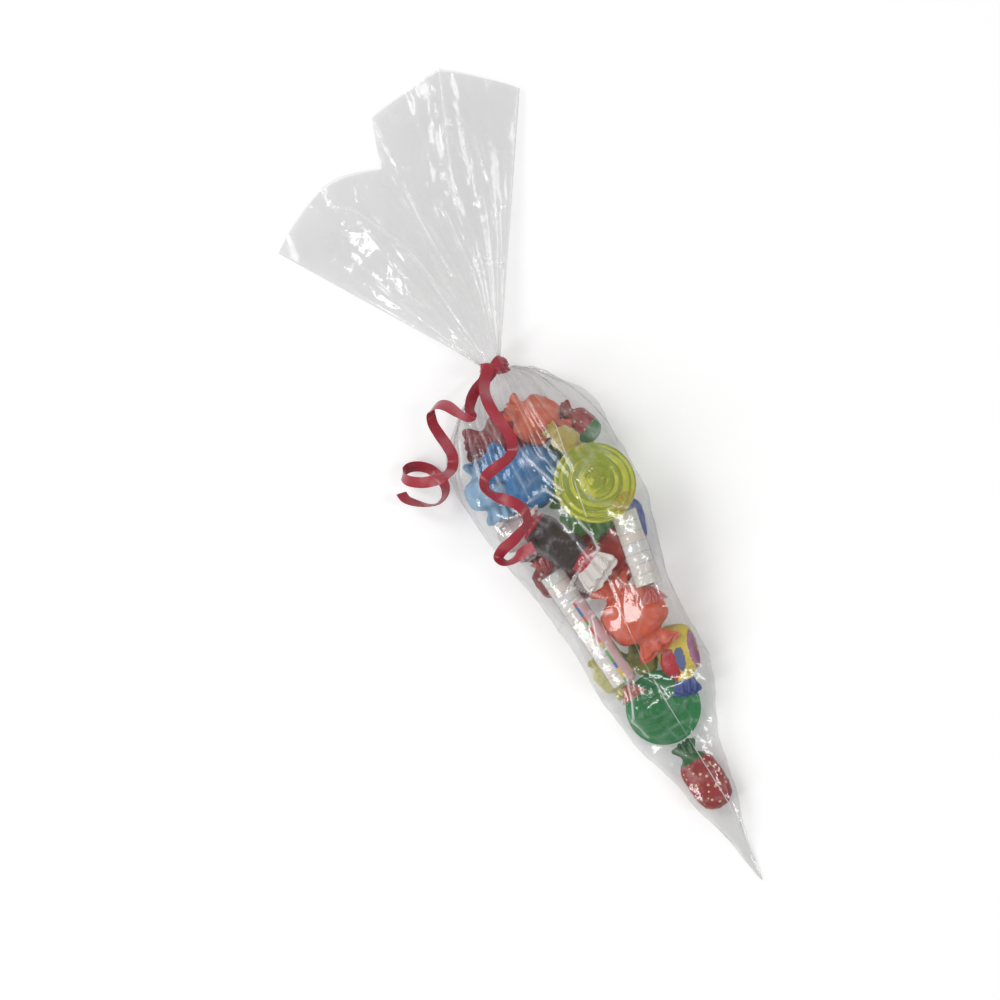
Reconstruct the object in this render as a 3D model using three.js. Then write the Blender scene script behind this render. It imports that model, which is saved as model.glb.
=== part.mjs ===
// A clear film cone bag of party sweets and small toys, gathered at the neck and tied with curling ribbon.
// Millimetres. The bag lies on its side: +Y runs from the tip to the mouth, +X is to the right, +Z is up,
// and the flat of the underside is at z = 0. The origin is a point of that flat, under the pile.
import * as THREE from "three";

// Film. The real film is a few hundredths of a millimetre thick, and WALL stands for it.
const WALL = 0.3;
const CLEARANCE = 0.35;
const FILM_EASE = 0.8;
const EDGE_STEP = 3;
const TIP_Y = -165;
const NECK_Y = 78.7;
const NECK_Z = 12;
const NECK_RADIUS = 4.3;
const NECK_PLEATS = 14;
const PLEAT_DEPTH = 1.7;
const PLEAT_REACH = 62;
const FLARE_RIPPLE = 9;
const SECTION_POWER = 2.3;
const UNDERSIDE_FULLNESS = 1.25;

// The film touches the table at a few places, where the pile presses on it. Elsewhere it is a little clear of it.
const LIFT_BETWEEN_RESTS = 0.25;
const RESTING_ROWS = [5, 14, 15, 19];
const AROUND = 56;

// The filled cone, from the tip up: distance from the tip, reach to the left, reach to the right, height.
const CONE_OUTLINE = [
  [0, 0.2, 0.2, 0.6],
  [6, 1.8, 1.2, 1.3],
  [13, 3.2, 2.2, 1.8],
  [26, 5.6, 4, 3.4],
  [38, 8.7, 7, 9],
  [51, 12.9, 9.7, 13],
  [64, 17, 12, 14],
  [76, 21.6, 13.8, 14],
  [86, 22.9, 15.6, 15],
  [97, 22.9, 18.4, 18],
  [109, 23.6, 20.8, 22],
  [122, 26, 21.6, 26],
  [135, 27.6, 22.4, 30],
  [146, 29, 25, 34],
  [157, 31.4, 28.4, 38],
  [168, 34, 29, 41],
  [180, 35.4, 30, 43],
  [192, 37, 30.2, 43],
  [203, 38.2, 31.4, 42],
  [213, 35.6, 28.8, 39],
  [222, 30.6, 24.4, 35],
  [230, 25.4, 19.6, 31],
  [237, 17.6, 14.4, 26],
  [241.5, 9.4, 8.6, 20.5],
];

// The mouth, as seen from the neck: share of the way round the layer, bearing from +X in degrees,
// distance from the neck and height above the table.
const UPPER_MOUTH = [
  [0, 123.7, 106, 5],
  [0.13, 113.8, 107, 19],
  [0.22, 106.4, 108, 26],
  [0.31, 101.2, 106, 26],
  [0.4, 96.9, 103, 21],
  [0.46, 91.8, 99.3, 13],
  [0.54, 88.6, 120.5, 17],
  [0.66, 80.6, 125, 13],
  [0.78, 73.1, 131, 17],
  [0.9, 65, 125.5, 9],
  [1, 57.8, 121.6, 4],
];
const LOWER_MOUTH = [
  [0, 57.8, 121.6, 4],
  [0.14, 65, 120, 1.4],
  [0.32, 76, 118, 1],
  [0.5, 90, 108, 2.6],
  [0.7, 104, 101, 1],
  [0.88, 116, 102.5, 1.2],
  [1, 123.7, 106, 5],
];
const FLARE_ROWS = [0.07, 0.15, 0.26, 0.42, 0.62, 0.82, 1];

// Ribbon.
const RIBBON_WIDTH = 4.8;
const RIBBON_THICKNESS = 0.5;
const TIE_THICKNESS = 1.2;

const DEGREE = Math.PI / 180;
const lerp = THREE.MathUtils.lerp;
const smoothstep = THREE.MathUtils.smoothstep;

// A row of a table of numbers at a value of its first column, between the two rows beside it.
function rowAt(table, value) {
  const above = table.findIndex((row) => row[0] >= value);
  if (above < 0) return table[table.length - 1];
  if (above === 0) return table[0];
  const [low, high] = [table[above - 1], table[above]];
  const share = (value - low[0]) / (high[0] - low[0]);
  return low.map((entry, i) => lerp(entry, high[i], share));
}

function finish(color, roughness, extra = {}) {
  return new THREE.MeshStandardMaterial({ color, roughness, metalness: 0, ...extra });
}

const FINISH = {
  film: finish(0xeeeeec, 0.08, { transparent: true, opacity: 0.3, side: THREE.DoubleSide }),
  ribbon: finish(0xb5283c, 0.3),
  red: finish(0xa32b30, 0.35),
  strawberry: finish(0xa8282c, 0.35),
  blue: finish(0x3f83b8, 0.4),
  lightBlue: finish(0x86b4d2, 0.4),
  orange: finish(0xe0603a, 0.4),
  yellow: finish(0xe6cc3e, 0.4),
  brown: finish(0x3a241f, 0.35),
  darkRed: finish(0x8c2a2e, 0.4),
  white: finish(0xefe8e2, 0.4),
  green: finish(0x4fa04a, 0.4),
  olive: finish(0x8d8f3c, 0.4),
  tablet: finish(0xf0e6dc, 0.8),
  wrapper: finish(0xf0f0ee, 0.1, { transparent: true, opacity: 0.4 }),
  clearYellow: finish(0xd8dc3a, 0.12, { transparent: true, opacity: 0.85 }),
  clearGreen: finish(0x2f9a58, 0.12, { transparent: true, opacity: 0.85 }),
};

// Moves each vertex of a geometry to where place(vertex) puts it.
function reshape(geometry, place) {
  const position = geometry.getAttribute("position");
  const vertex = new THREE.Vector3();
  for (let i = 0; i < position.count; i += 1) {
    vertex.fromBufferAttribute(position, i);
    place(vertex);
    position.setXYZ(i, vertex.x, vertex.y, vertex.z);
  }
  return geometry;
}

// A sweet in a twisted wrapper, its long axis along Y: a rounded body, pinched at each end that has a fan.
function wrappedSweet({ length, width, height, fans, fanWidth = 0.8, squareness = 2.6, pleats = 5 }) {
  const segments = 14;
  const [lowFan, highFan] = fans;
  const low = -length / 2;
  const high = length / 2;
  const bodyLow = low + lowFan;
  const bodyHigh = high - highFan;
  const bulge = (bodyHigh - bodyLow) * 0.2;
  const profile = [new THREE.Vector2(0, low)];
  if (lowFan > 0) profile.push(new THREE.Vector2(fanWidth, low), new THREE.Vector2(0.22, bodyLow));
  profile.push(new THREE.Vector2(lowFan > 0 ? 0.78 : 0.62, bodyLow + bulge * 0.35));
  profile.push(new THREE.Vector2(1, bodyLow + bulge));
  profile.push(new THREE.Vector2(1, bodyHigh - bulge));
  profile.push(new THREE.Vector2(highFan > 0 ? 0.78 : 0.62, bodyHigh - bulge * 0.35));
  if (highFan > 0) profile.push(new THREE.Vector2(0.22, bodyHigh), new THREE.Vector2(fanWidth, high));
  profile.push(new THREE.Vector2(0, high));
  return reshape(new THREE.LatheGeometry(profile, segments), (v) => {
    const angle = Math.atan2(v.x, v.z);
    const inFan = Math.max(bodyLow - v.y, v.y - bodyHigh, 0) / Math.max(lowFan, highFan, 1);
    const flat = inFan > 0 ? 1 : squareness;
    const round = inFan > 0 ? 2 : flat;
    const swell = (Math.abs(Math.sin(angle)) ** round + Math.abs(Math.cos(angle)) ** round) ** (-1 / round);
    v.x *= (swell * width) / 2;
    v.z *= ((swell * height) / 2) * lerp(1, 0.34, Math.min(inFan, 1));
    v.z += Math.cos(angle * pleats) * inFan * height * 0.03;
  });
}

// A toy spinning top, its axis along Z: a disc that steps up to its middle in rings, with a blunt foot below.
function spinningTop({ radius, height, rings }) {
  const rim = height * 0.24;
  const foot = height * 0.26;
  const step = (height - rim - foot) / rings;
  const pitch = radius / (rings + 0.5);
  const profile = [
    new THREE.Vector2(0, -foot),
    new THREE.Vector2(radius * 0.14, -foot),
    new THREE.Vector2(radius * 0.3, 0),
    new THREE.Vector2(radius * 0.96, 0),
    new THREE.Vector2(radius, rim / 2),
    new THREE.Vector2(radius * 0.96, rim),
  ];
  for (let ring = rings; ring > 0; ring -= 1) {
    const low = rim + step * (rings - ring);
    profile.push(new THREE.Vector2(pitch * (ring - 0.1), low));
    profile.push(new THREE.Vector2(pitch * (ring - 0.3), low + step));
  }
  profile.push(new THREE.Vector2(0, rim + step * rings));
  return new THREE.LatheGeometry(profile, 24).translate(0, (foot - rim) / 2, 0).rotateX(Math.PI / 2);
}

// A column of pressed tablets, its axis along Y, as one grooved solid.
function tabletColumn({ diameter, pitch, count }) {
  const radius = diameter / 2;
  const start = (-pitch * count) / 2;
  const profile = [new THREE.Vector2(0, start)];
  for (let i = 0; i < count; i += 1) {
    profile.push(new THREE.Vector2(radius, start + pitch * (i + 0.1)));
    profile.push(new THREE.Vector2(radius, start + pitch * (i + 0.8)));
    if (i < count - 1) profile.push(new THREE.Vector2(radius * 0.86, start + pitch * (i + 0.95)));
  }
  profile.push(new THREE.Vector2(0, start + pitch * count));
  return new THREE.LatheGeometry(profile, 12);
}

// The clear sleeve of a tablet roll: a thin tube twisted shut to a small hole at each end, with a fan beyond.
function rollSleeve({ diameter, pitch, count, fan, fanRadius }) {
  const inner = diameter / 2 + CLEARANCE;
  const half = (pitch * count) / 2 + CLEARANCE;
  const bore = 0.6;
  const outline = [
    [fanRadius, -half - fan],
    [bore, -half - fan * 0.35],
    [inner, -half],
    [inner, half],
    [bore, half + fan * 0.35],
    [fanRadius, half + fan],
  ];
  const inside = outline.map(([r, y]) => new THREE.Vector2(r, y)).reverse();
  const outside = outline.map(([r, y]) => new THREE.Vector2(r + WALL, y));
  return new THREE.LatheGeometry([...outside, ...inside, outside[0].clone()], 12);
}

const ROLL = { diameter: 10.7, pitch: 4.6, fan: 8, fanRadius: 5.5 };
const LEFT_ROLL = { ...ROLL, count: 12 };
const RIGHT_ROLL = { ...ROLL, count: 7 };

// What the bag holds, in the order in which the pile is laid: a name, a finish, its place in plan, its turn
// about Z from the bag's axis with its pitch about X and roll about Y, in degrees, and its shape. Its height
// comes from what is under it.
const CONTENTS = [
  ["strawberry_sweet_tip", "strawberry", [-1.8, -113.2], [6],
    wrappedSweet({ length: 31, width: 15, height: 11.5, fans: [0, 6] })],
  ["spinning_top_green", "clearGreen", [-3.2, -80], [0, 3, -3],
    spinningTop({ radius: 16, height: 10, rings: 4 })],
  ["flat_sweet_pale_yellow", "yellow", [-18.5, -58], [14],
    wrappedSweet({ length: 20, width: 10, height: 8, fans: [4, 4] })],
  ["olive_sweet", "olive", [-1, -57], [80],
    wrappedSweet({ length: 18, width: 12, height: 9, fans: [4, 4] })],
  ["side_sweet_blue", "blue", [21.5, -6], [-14],
    wrappedSweet({ length: 25, width: 11, height: 12, fans: [6, 0] })],
  ["wrapped_sweet_red", "red", [6, -9], [6],
    wrappedSweet({ length: 30, width: 18, height: 13, fans: [7, 7] })],
  ["wrapped_sweet_dark_red", "darkRed", [-19.5, -9], [8],
    wrappedSweet({ length: 28, width: 16, height: 13, fans: [7, 7] })],
  ["wrapped_sweet_pale", "white", [-25, 14], [2],
    wrappedSweet({ length: 22, width: 15, height: 13, fans: [5, 5] })],
  ["wrapped_sweet_light_blue", "lightBlue", [-28.5, 36], [-4],
    wrappedSweet({ length: 25, width: 16, height: 13, fans: [6, 6] })],
  ["hidden_sweet_green", "green", [12, 25], [-8],
    wrappedSweet({ length: 30, width: 19, height: 13, fans: [7, 7] })],
  ["wrapped_sweet_crimson", "darkRed", [-7, 52], [76],
    wrappedSweet({ length: 37, width: 17, height: 14, fans: [8, 8] })],
  ["strawberry_sweet_neck", "strawberry", [21.5, 44], [22],
    wrappedSweet({ length: 20, width: 12, height: 12, fans: [0, 5] })],
  ["gum_yellow", "yellow", [13, -65], [-13],
    wrappedSweet({ length: 30, width: 16, height: 11, fans: [8, 0], squareness: 4 })],
  ["orange_sweet_large", "orange", [4.5, -39], [10],
    wrappedSweet({ length: 36, width: 23, height: 14, fans: [8, 8], fanWidth: 0.95 })],
  ["light_green_sweet", "green", [4, 9], [24],
    wrappedSweet({ length: 24, width: 14, height: 10, fans: [5, 5] })],
  ["tablets_left", "tablet", [-16, -34.8], [6.4],
    tabletColumn(LEFT_ROLL)],
  ["tablets_right", "tablet", [17.5, -14], [-8.4],
    tabletColumn(RIGHT_ROLL)],
  ["chew_roll_brown", "brown", [-9, -1], [27],
    wrappedSweet({ length: 42, width: 15, height: 13, fans: [14, 4], squareness: 2.2, fanWidth: 0.9 })],
  ["wrapped_sweet_blue", "blue", [-9, 34], [47],
    wrappedSweet({ length: 38, width: 22, height: 13, fans: [7, 11], fanWidth: 1 })],
  ["wrapped_sweet_orange", "orange", [6, 53], [38],
    wrappedSweet({ length: 26, width: 18, height: 12, fans: [5, 5] })],
  ["small_sweet_yellow", "yellow", [13, 40], [30],
    wrappedSweet({ length: 18, width: 10, height: 8, fans: [4, 4] })],
  ["spinning_top_yellow", "clearYellow", [14.5, 18], [0, -10, 14],
    spinningTop({ radius: 17.5, height: 11, rings: 4 })],
];

// The three corners of each face of a geometry, and its lowest and highest place in plan.
function facesOf(geometry) {
  const flat = geometry.index ? geometry.toNonIndexed() : geometry;
  const position = flat.getAttribute("position");
  const corners = [];
  for (let i = 0; i < position.count; i += 1) {
    corners.push(new THREE.Vector3().fromBufferAttribute(position, i));
  }
  return { corners, box: new THREE.Box3().setFromPoints(corners) };
}

// The height of a face above a point in plan, or null where the point is beside the face.
function heightOver(a, b, c, x, y) {
  const area = (b.x - a.x) * (c.y - a.y) - (c.x - a.x) * (b.y - a.y);
  if (Math.abs(area) < 1e-9) return null;
  const u = ((x - a.x) * (c.y - a.y) - (c.x - a.x) * (y - a.y)) / area;
  const v = ((b.x - a.x) * (y - a.y) - (x - a.x) * (b.y - a.y)) / area;
  return u < 0 || v < 0 || u + v > 1 ? null : a.z + u * (b.z - a.z) + v * (c.z - a.z);
}

// The least height from the faces of one piece up to the corners of another, or down where sign is -1.
function leastGap(faces, points, sign) {
  let least = Infinity;
  for (const point of points.corners) {
    if (point.x < faces.box.min.x || point.x > faces.box.max.x) continue;
    if (point.y < faces.box.min.y || point.y > faces.box.max.y) continue;
    for (let i = 0; i < faces.corners.length; i += 3) {
      const [a, b, c] = [faces.corners[i], faces.corners[i + 1], faces.corners[i + 2]];
      const height = heightOver(a, b, c, point.x, point.y);
      if (height !== null) least = Math.min(least, sign * (point.z - height));
    }
  }
  return least;
}

// Lowers a piece until it is a clearance above the pile or the film under it, and adds it to the pile.
function layOnPile(geometry, pile) {
  const start = 200;
  geometry.translate(0, 0, start);
  const piece = facesOf(geometry);
  let room = piece.box.min.z - WALL - CLEARANCE;
  for (const other of pile) {
    if (piece.box.min.x > other.box.max.x || piece.box.max.x < other.box.min.x) continue;
    if (piece.box.min.y > other.box.max.y || piece.box.max.y < other.box.min.y) continue;
    room = Math.min(room, leastGap(other, piece, 1) - CLEARANCE, leastGap(piece, other, -1) - CLEARANCE);
  }
  geometry.translate(0, 0, -room);
  pile.push(facesOf(geometry));
  return geometry;
}

const group = new THREE.Group();

function add(name, geometry, material) {
  const mesh = new THREE.Mesh(geometry, material);
  mesh.name = name;
  group.add(mesh);
}

function turned(geometry, x, y, turn, pitch = 0, roll = 0) {
  return geometry
    .rotateY(roll * DEGREE)
    .rotateX(pitch * DEGREE)
    .rotateZ(turn * DEGREE)
    .translate(x, y, 0);
}

// The pile. A tablet roll is laid as its sleeve, and its tablets then go where the sleeve has come to lie.
const SLEEVES = { tablets_left: ["sleeve_left", LEFT_ROLL], tablets_right: ["sleeve_right", RIGHT_ROLL] };
const pile = [];
for (const [name, look, [x, y], [turn, pitch, roll], geometry] of CONTENTS) {
  turned(geometry, x, y, turn, pitch, roll);
  if (SLEEVES[name]) {
    const [sleeveName, sizes] = SLEEVES[name];
    const sleeve = layOnPile(turned(rollSleeve(sizes), x, y, turn, pitch, roll), pile);
    sleeve.computeBoundingBox();
    geometry.translate(0, 0, sleeve.boundingBox.getCenter(new THREE.Vector3()).z);
    add(sleeveName, sleeve, FINISH.wrapper);
  } else {
    layOnPile(geometry, pile);
  }
  add(name, geometry, FINISH[look]);
}

// Points along the edges of the pile's faces, so close together that no section of the film misses a face.
const pilePoints = pile.flatMap(({ corners }) =>
  corners.flatMap((corner, i) => {
    const next = corners[i % 3 === 2 ? i - 2 : i + 1];
    const steps = Math.ceil(corner.distanceTo(next) / EDGE_STEP);
    return Array.from({ length: steps }, (_, k) => corner.clone().lerp(next, k / steps));
  }),
);

// The film's sections, from the tip to the tie. Each is a centre and a reach in AROUND directions, the first
// of them straight up. A section is the wider of the bag's own outline and a loop drawn round what it holds.
const directions = Array.from({ length: AROUND }, (_, i) => {
  const angle = (2 * Math.PI * i) / AROUND;
  return { x: Math.sin(angle), z: Math.cos(angle) };
});

function outlineReach(half, centreZ, direction) {
  const rise = direction.z < 0 ? centreZ * UNDERSIDE_FULLNESS : centreZ;
  const across = (Math.abs(direction.x) / half) ** SECTION_POWER;
  const up = (Math.abs(direction.z) / rise) ** SECTION_POWER;
  return (across + up) ** (-1 / SECTION_POWER);
}

function loopReach(points, centreX, centreZ) {
  if (!points.length) return directions.map(() => 0);
  const support = directions.map(
    (d) => Math.max(...points.map((p) => (p.x - centreX) * d.x + (p.z - centreZ) * d.z)) + WALL + FILM_EASE,
  );
  return directions.map((d) => {
    let reach = Infinity;
    directions.forEach((e, j) => {
      const cosine = d.x * e.x + d.z * e.z;
      if (cosine > 0.2) reach = Math.min(reach, support[j] / cosine);
    });
    return reach;
  });
}

const sections = CONE_OUTLINE.map(([fromTip, left, right, height], k) => {
  const y = TIP_Y + fromTip;
  const before = CONE_OUTLINE[Math.max(k - 1, 0)][0] + TIP_Y;
  const after = CONE_OUTLINE[Math.min(k + 1, CONE_OUTLINE.length - 1)][0] + TIP_Y;
  const centreX = (right - left) / 2;
  const centreZ = height / 2;
  const near = pilePoints.filter((p) => p.y >= before && p.y <= after);
  const loop = loopReach(near, centreX, centreZ);
  const half = (left + right) / 2;
  const reach = directions.map((d, i) => Math.max(outlineReach(half, centreZ, d), loop[i]));
  return { y, centreX, centreZ, reach };
});

// The film's outside at a section, with its pleats. They only stand out, so they clear what is inside.
function conePoint(k, i) {
  const { y, centreX, centreZ, reach } = sections[k];
  const gather = smoothstep(y, NECK_Y - PLEAT_REACH, NECK_Y);
  const pleat = PLEAT_DEPTH * gather * (0.5 + 0.5 * Math.cos((2 * Math.PI * NECK_PLEATS * i) / AROUND));
  const direction = directions[i];
  const r = reach[i] + pleat;
  const x = centreX + r * direction.x;
  const lowest = RESTING_ROWS.includes(k) ? 0 : LIFT_BETWEEN_RESTS;
  const z = Math.max(centreZ + r * direction.z, lowest);
  return new THREE.Vector3(x, y, z);
}

function neckPoint(i) {
  const pleat = 0.5 * Math.cos((2 * Math.PI * NECK_PLEATS * i) / AROUND);
  const r = NECK_RADIUS + pleat;
  return new THREE.Vector3(r * directions[i].x, NECK_Y, NECK_Z + r * directions[i].z);
}

function mouthPoint(i) {
  const round = (i / AROUND + 0.25) % 1;
  const upper = round < 0.5;
  const share = upper ? round * 2 : round * 2 - 1;
  const [, bearing, reach, height] = rowAt(upper ? UPPER_MOUTH : LOWER_MOUTH, share);
  const angle = bearing * DEGREE;
  return new THREE.Vector3(reach * Math.cos(angle), NECK_Y + reach * Math.sin(angle), height);
}

function flarePoint(share, i) {
  const point = neckPoint(i).lerp(mouthPoint(i), share);
  const fromFold = Math.abs(directions[i].z);
  const wave = Math.cos((2 * Math.PI * NECK_PLEATS * i) / AROUND);
  const ripple = wave * share * (1 - share) ** 2 * FLARE_RIPPLE;
  point.z = Math.max(point.z + ripple * fromFold, 0);
  point.y += RIBBON_WIDTH * (1 - share);
  return point;
}

const outer = [
  ...sections.map((_, k) => (i) => conePoint(k, i)),
  (i) => neckPoint(i),
  (i) => neckPoint(i).add(new THREE.Vector3(0, RIBBON_WIDTH, 0)),
  ...FLARE_ROWS.map((share) => (i) => flarePoint(share, i)),
].map((row) => directions.map((_, i) => row(i)));

function middleOf(ring) {
  return ring.reduce((sum, p) => sum.add(p), new THREE.Vector3()).divideScalar(AROUND);
}

// The inside surface lies a wall's thickness in from the outside one, measured square to it: towards the
// middle of a filled section, and towards the facing layer beyond the tie. ROOM_SHARE keeps the walls from crossing
// where two layers close in on each other, and LEAST_LEAN where the way in slants along the wall.
const LEAST_LEAN = 0.5;
const ROOM_SHARE = 0.3;
function insidePoint(k, i) {
  const point = outer[k][i];
  const facingIndex = (AROUND * 1.5 - i) % AROUND;
  const before = outer[k][(i + AROUND - 1) % AROUND];
  const after = outer[k][(i + 1) % AROUND];
  const facing = facingIndex === i ? before.clone().lerp(after, 0.5) : outer[k][facingIndex];
  const roundRows = sections.length + 3;
  const target = k < roundRows ? middleOf(outer[k]) : facing.clone();
  if (k < sections.length) target.set(sections[k].centreX, sections[k].y, sections[k].centreZ);
  const way = target.clone().sub(point);
  const room = way.length();
  way.normalize();
  const along = outer[Math.min(k + 1, outer.length - 1)][i].clone().sub(outer[Math.max(k - 1, 0)][i]);
  const normal = along.cross(after.clone().sub(before)).normalize();
  const lean = Math.max(Math.abs(way.dot(normal)), LEAST_LEAN);
  return point.clone().addScaledVector(way, Math.min(WALL / lean, room * ROOM_SHARE));
}

// Splits the inner wall's quads the same way as the outer wall's, so that the two stay a wall apart.
function matchDiagonals(lathe, rowCount, outerCount) {
  const index = lathe.getIndex();
  for (let n = 0; n < index.count; n += 6) {
    const a = index.getX(n);
    if (a % rowCount <= outerCount) continue;
    const corners = [a, a + rowCount, a + rowCount + 1, a, a + rowCount + 1, a + 1];
    corners.forEach((corner, m) => index.setX(n + m, corner));
  }
}

function filmGeometry() {
  const firstInside = 3;
  const tip = new THREE.Vector3(0, TIP_Y - 0.5, 0.3);
  const rows = [directions.map(() => tip), ...outer];
  for (let k = outer.length - 1; k >= firstInside; k -= 1) {
    rows.push(directions.map((_, i) => insidePoint(k, i)));
  }
  const end = outer[firstInside - 1];
  const middle = middleOf(end);
  rows.push(directions.map(() => middle));
  const profile = rows.map((_, j) => new THREE.Vector2(j === 0 || j === rows.length - 1 ? 0 : 1, j));
  const lathe = new THREE.LatheGeometry(profile, AROUND);
  const position = lathe.getAttribute("position");
  for (let i = 0; i <= AROUND; i += 1) {
    rows.forEach((row, j) => {
      const point = row[i % AROUND];
      position.setXYZ(i * rows.length + j, point.x, point.y, point.z);
    });
  }
  matchDiagonals(lathe, rows.length, outer.length);
  return lathe;
}
add("film_bag", filmGeometry(), FINISH.film);

// The tie: three tight turns of ribbon round the neck, as one band with a slightly crowned outside.
function tieGeometry() {
  const inner = NECK_RADIUS + 0.5 + CLEARANCE;
  const outerRadius = inner + TIE_THICKNESS;
  const low = NECK_Y + CLEARANCE;
  const high = NECK_Y + RIBBON_WIDTH - CLEARANCE;
  const profile = [
    new THREE.Vector2(inner, low),
    new THREE.Vector2(outerRadius - 0.3, low),
    new THREE.Vector2(outerRadius, (low + high) / 2),
    new THREE.Vector2(outerRadius - 0.3, high),
    new THREE.Vector2(inner, high),
    new THREE.Vector2(inner, low),
  ];
  return new THREE.LatheGeometry(profile, 28).translate(0, 0, NECK_Z);
}
add("ribbon_tie", tieGeometry(), FINISH.ribbon);

// The two curled tails of the ribbon, as points of their middle lines from the tie to the free ends.
const LEFT_TAIL = [
  [-3.2, 82, 18.5], [-6.2, 78.6, 19.6], [-10.6, 76.6, 21.8], [-14.8, 73.7, 25.4], [-17.6, 70.1, 29.2],
  [-18.2, 67.2, 31.4], [-20.2, 67.6, 30.8], [-23, 72, 26.6], [-25.4, 76, 21.8], [-28.6, 78.2, 17],
  [-32.3, 77.1, 13], [-34, 72.9, 12.4], [-33.8, 66.8, 16.4], [-33, 60.8, 23], [-33.2, 55.4, 28],
  [-35.6, 51.6, 27.4], [-39, 50.2, 23], [-42.8, 50.2, 19.2], [-47.1, 51.1, 16.8], [-51.1, 52.9, 14.4],
  [-55.2, 56.3, 10.6], [-55.6, 59.2, 6.8], [-52.1, 60.4, 4], [-47.9, 59, 2.8], [-44.4, 56, 2.8],
  [-42.6, 52.5, 3.2], [-41.8, 49.1, 4.8], [-42, 45.5, 7.4], [-44.1, 42.4, 10.6], [-48.1, 41.1, 12.8],
  [-52.2, 42.6, 13.2], [-56.2, 45.7, 11.8], [-59.2, 49.2, 9.4], [-59.7, 52.3, 7.6],
];
const RIGHT_TAIL = [
  [-1.6, 82.4, 20.6], [-5.2, 79, 22.8], [-8, 75, 27.4], [-9.3, 69.4, 34.2], [-9.2, 63, 38.6],
  [-8.2, 56.8, 42],
  [-7.9, 51, 44.8], [-9.6, 46.4, 45.8], [-13.5, 44.1, 44.8], [-19.6, 43.1, 43.2], [-25, 41.6, 42],
  [-27.2, 37.9, 42.8], [-25.7, 33.8, 45.2], [-22.4, 29.8, 47.2], [-18.8, 25.8, 48.2], [-17, 21.3, 47.8],
  [-17.8, 17.4, 45.8], [-21.8, 14.7, 43.8], [-27.1, 12.6, 41], [-32.6, 11.2, 37.2], [-35.8, 9, 36],
  [-34.6, 6, 37.4], [-30.6, 5.2, 39.8], [-25.9, 6.2, 42.2], [-20.3, 6.6, 44.2],
];

// A flat strip along a curve. It bends only about its width, so that lies square to the curve's own bends.
function stripAlong(points) {
  const steps = 72;
  const curve = new THREE.CatmullRomCurve3(points.map((p) => new THREE.Vector3(...p)), false, "centripetal");
  const places = curve.getSpacedPoints(steps);
  const tangents = places.map((_, k) =>
    places[Math.min(k + 1, steps)].clone().sub(places[Math.max(k - 1, 0)]).normalize(),
  );
  const widths = [];
  tangents.forEach((tangent, k) => {
    const bend = tangents[Math.min(k + 2, steps)].clone().sub(tangents[Math.max(k - 2, 0)]);
    const width = tangent.clone().cross(bend);
    const last = widths[k - 1] ?? new THREE.Vector3(1, -1, 0);
    if (width.dot(last) < 0) width.negate();
    widths.push(width.add(last.clone().multiplyScalar(0.9)).projectOnPlane(tangent).normalize());
  });
  return reshape(new THREE.BoxGeometry(RIBBON_WIDTH, RIBBON_THICKNESS, steps, 1, 1, steps), (v) => {
    const k = Math.round(v.z + steps / 2);
    const normal = tangents[k].clone().cross(widths[k]);
    const place = places[k].clone().addScaledVector(widths[k], v.x).addScaledVector(normal, v.y);
    v.copy(place);
  });
}
add("ribbon_tail_left", stripAlong(LEFT_TAIL), FINISH.ribbon);
add("ribbon_tail_right", stripAlong(RIGHT_TAIL), FINISH.ribbon);

export default group;
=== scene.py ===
"""A clear film cone bag of party sweets, tied with curled ribbon, dressed for rendering.

The bag lies on its side: +Y runs from the tip to the fanned mouth, +X is to the right and +Z is up. Sizes
are named in millimetres and turned into metres where a mesh is made.
"""

import logging
import math
from dataclasses import dataclass, field
from enum import Enum

import bmesh
import bpy
import numpy as np
from mathutils import Matrix, Vector, noise
from mathutils.bvhtree import BVHTree


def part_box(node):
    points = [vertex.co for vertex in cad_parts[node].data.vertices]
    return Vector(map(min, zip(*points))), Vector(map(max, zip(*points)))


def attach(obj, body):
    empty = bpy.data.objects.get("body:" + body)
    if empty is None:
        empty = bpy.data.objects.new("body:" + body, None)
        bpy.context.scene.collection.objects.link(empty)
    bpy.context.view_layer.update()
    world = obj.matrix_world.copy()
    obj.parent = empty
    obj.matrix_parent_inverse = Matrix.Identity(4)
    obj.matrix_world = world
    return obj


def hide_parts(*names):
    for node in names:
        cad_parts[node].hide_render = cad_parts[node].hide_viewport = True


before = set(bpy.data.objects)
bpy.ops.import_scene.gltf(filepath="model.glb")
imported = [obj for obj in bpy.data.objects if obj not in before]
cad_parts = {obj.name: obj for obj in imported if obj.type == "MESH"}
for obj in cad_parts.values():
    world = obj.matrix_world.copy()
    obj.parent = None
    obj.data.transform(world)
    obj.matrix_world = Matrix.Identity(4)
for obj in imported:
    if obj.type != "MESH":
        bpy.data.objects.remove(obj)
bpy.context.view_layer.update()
LOG = logging.getLogger("cone_bag")

MM = 0.001
BODY = "root"
TIP_Y = -165.0
NECK_Y = 78.7
NECK_Z = 12.0
NECK_RADIUS = 4.3
RIBBON_WIDTH = 4.8
RIBBON_THICKNESS = 0.22
SHARP_FROM = math.radians(50)
SQUARENESS = 7
# A sweet this far from the bag's middle line, or farther, swells only inwards.
NEAR_WALL = 20.0

Colour = tuple[float, float, float]
Point = tuple[float, float, float]

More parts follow.
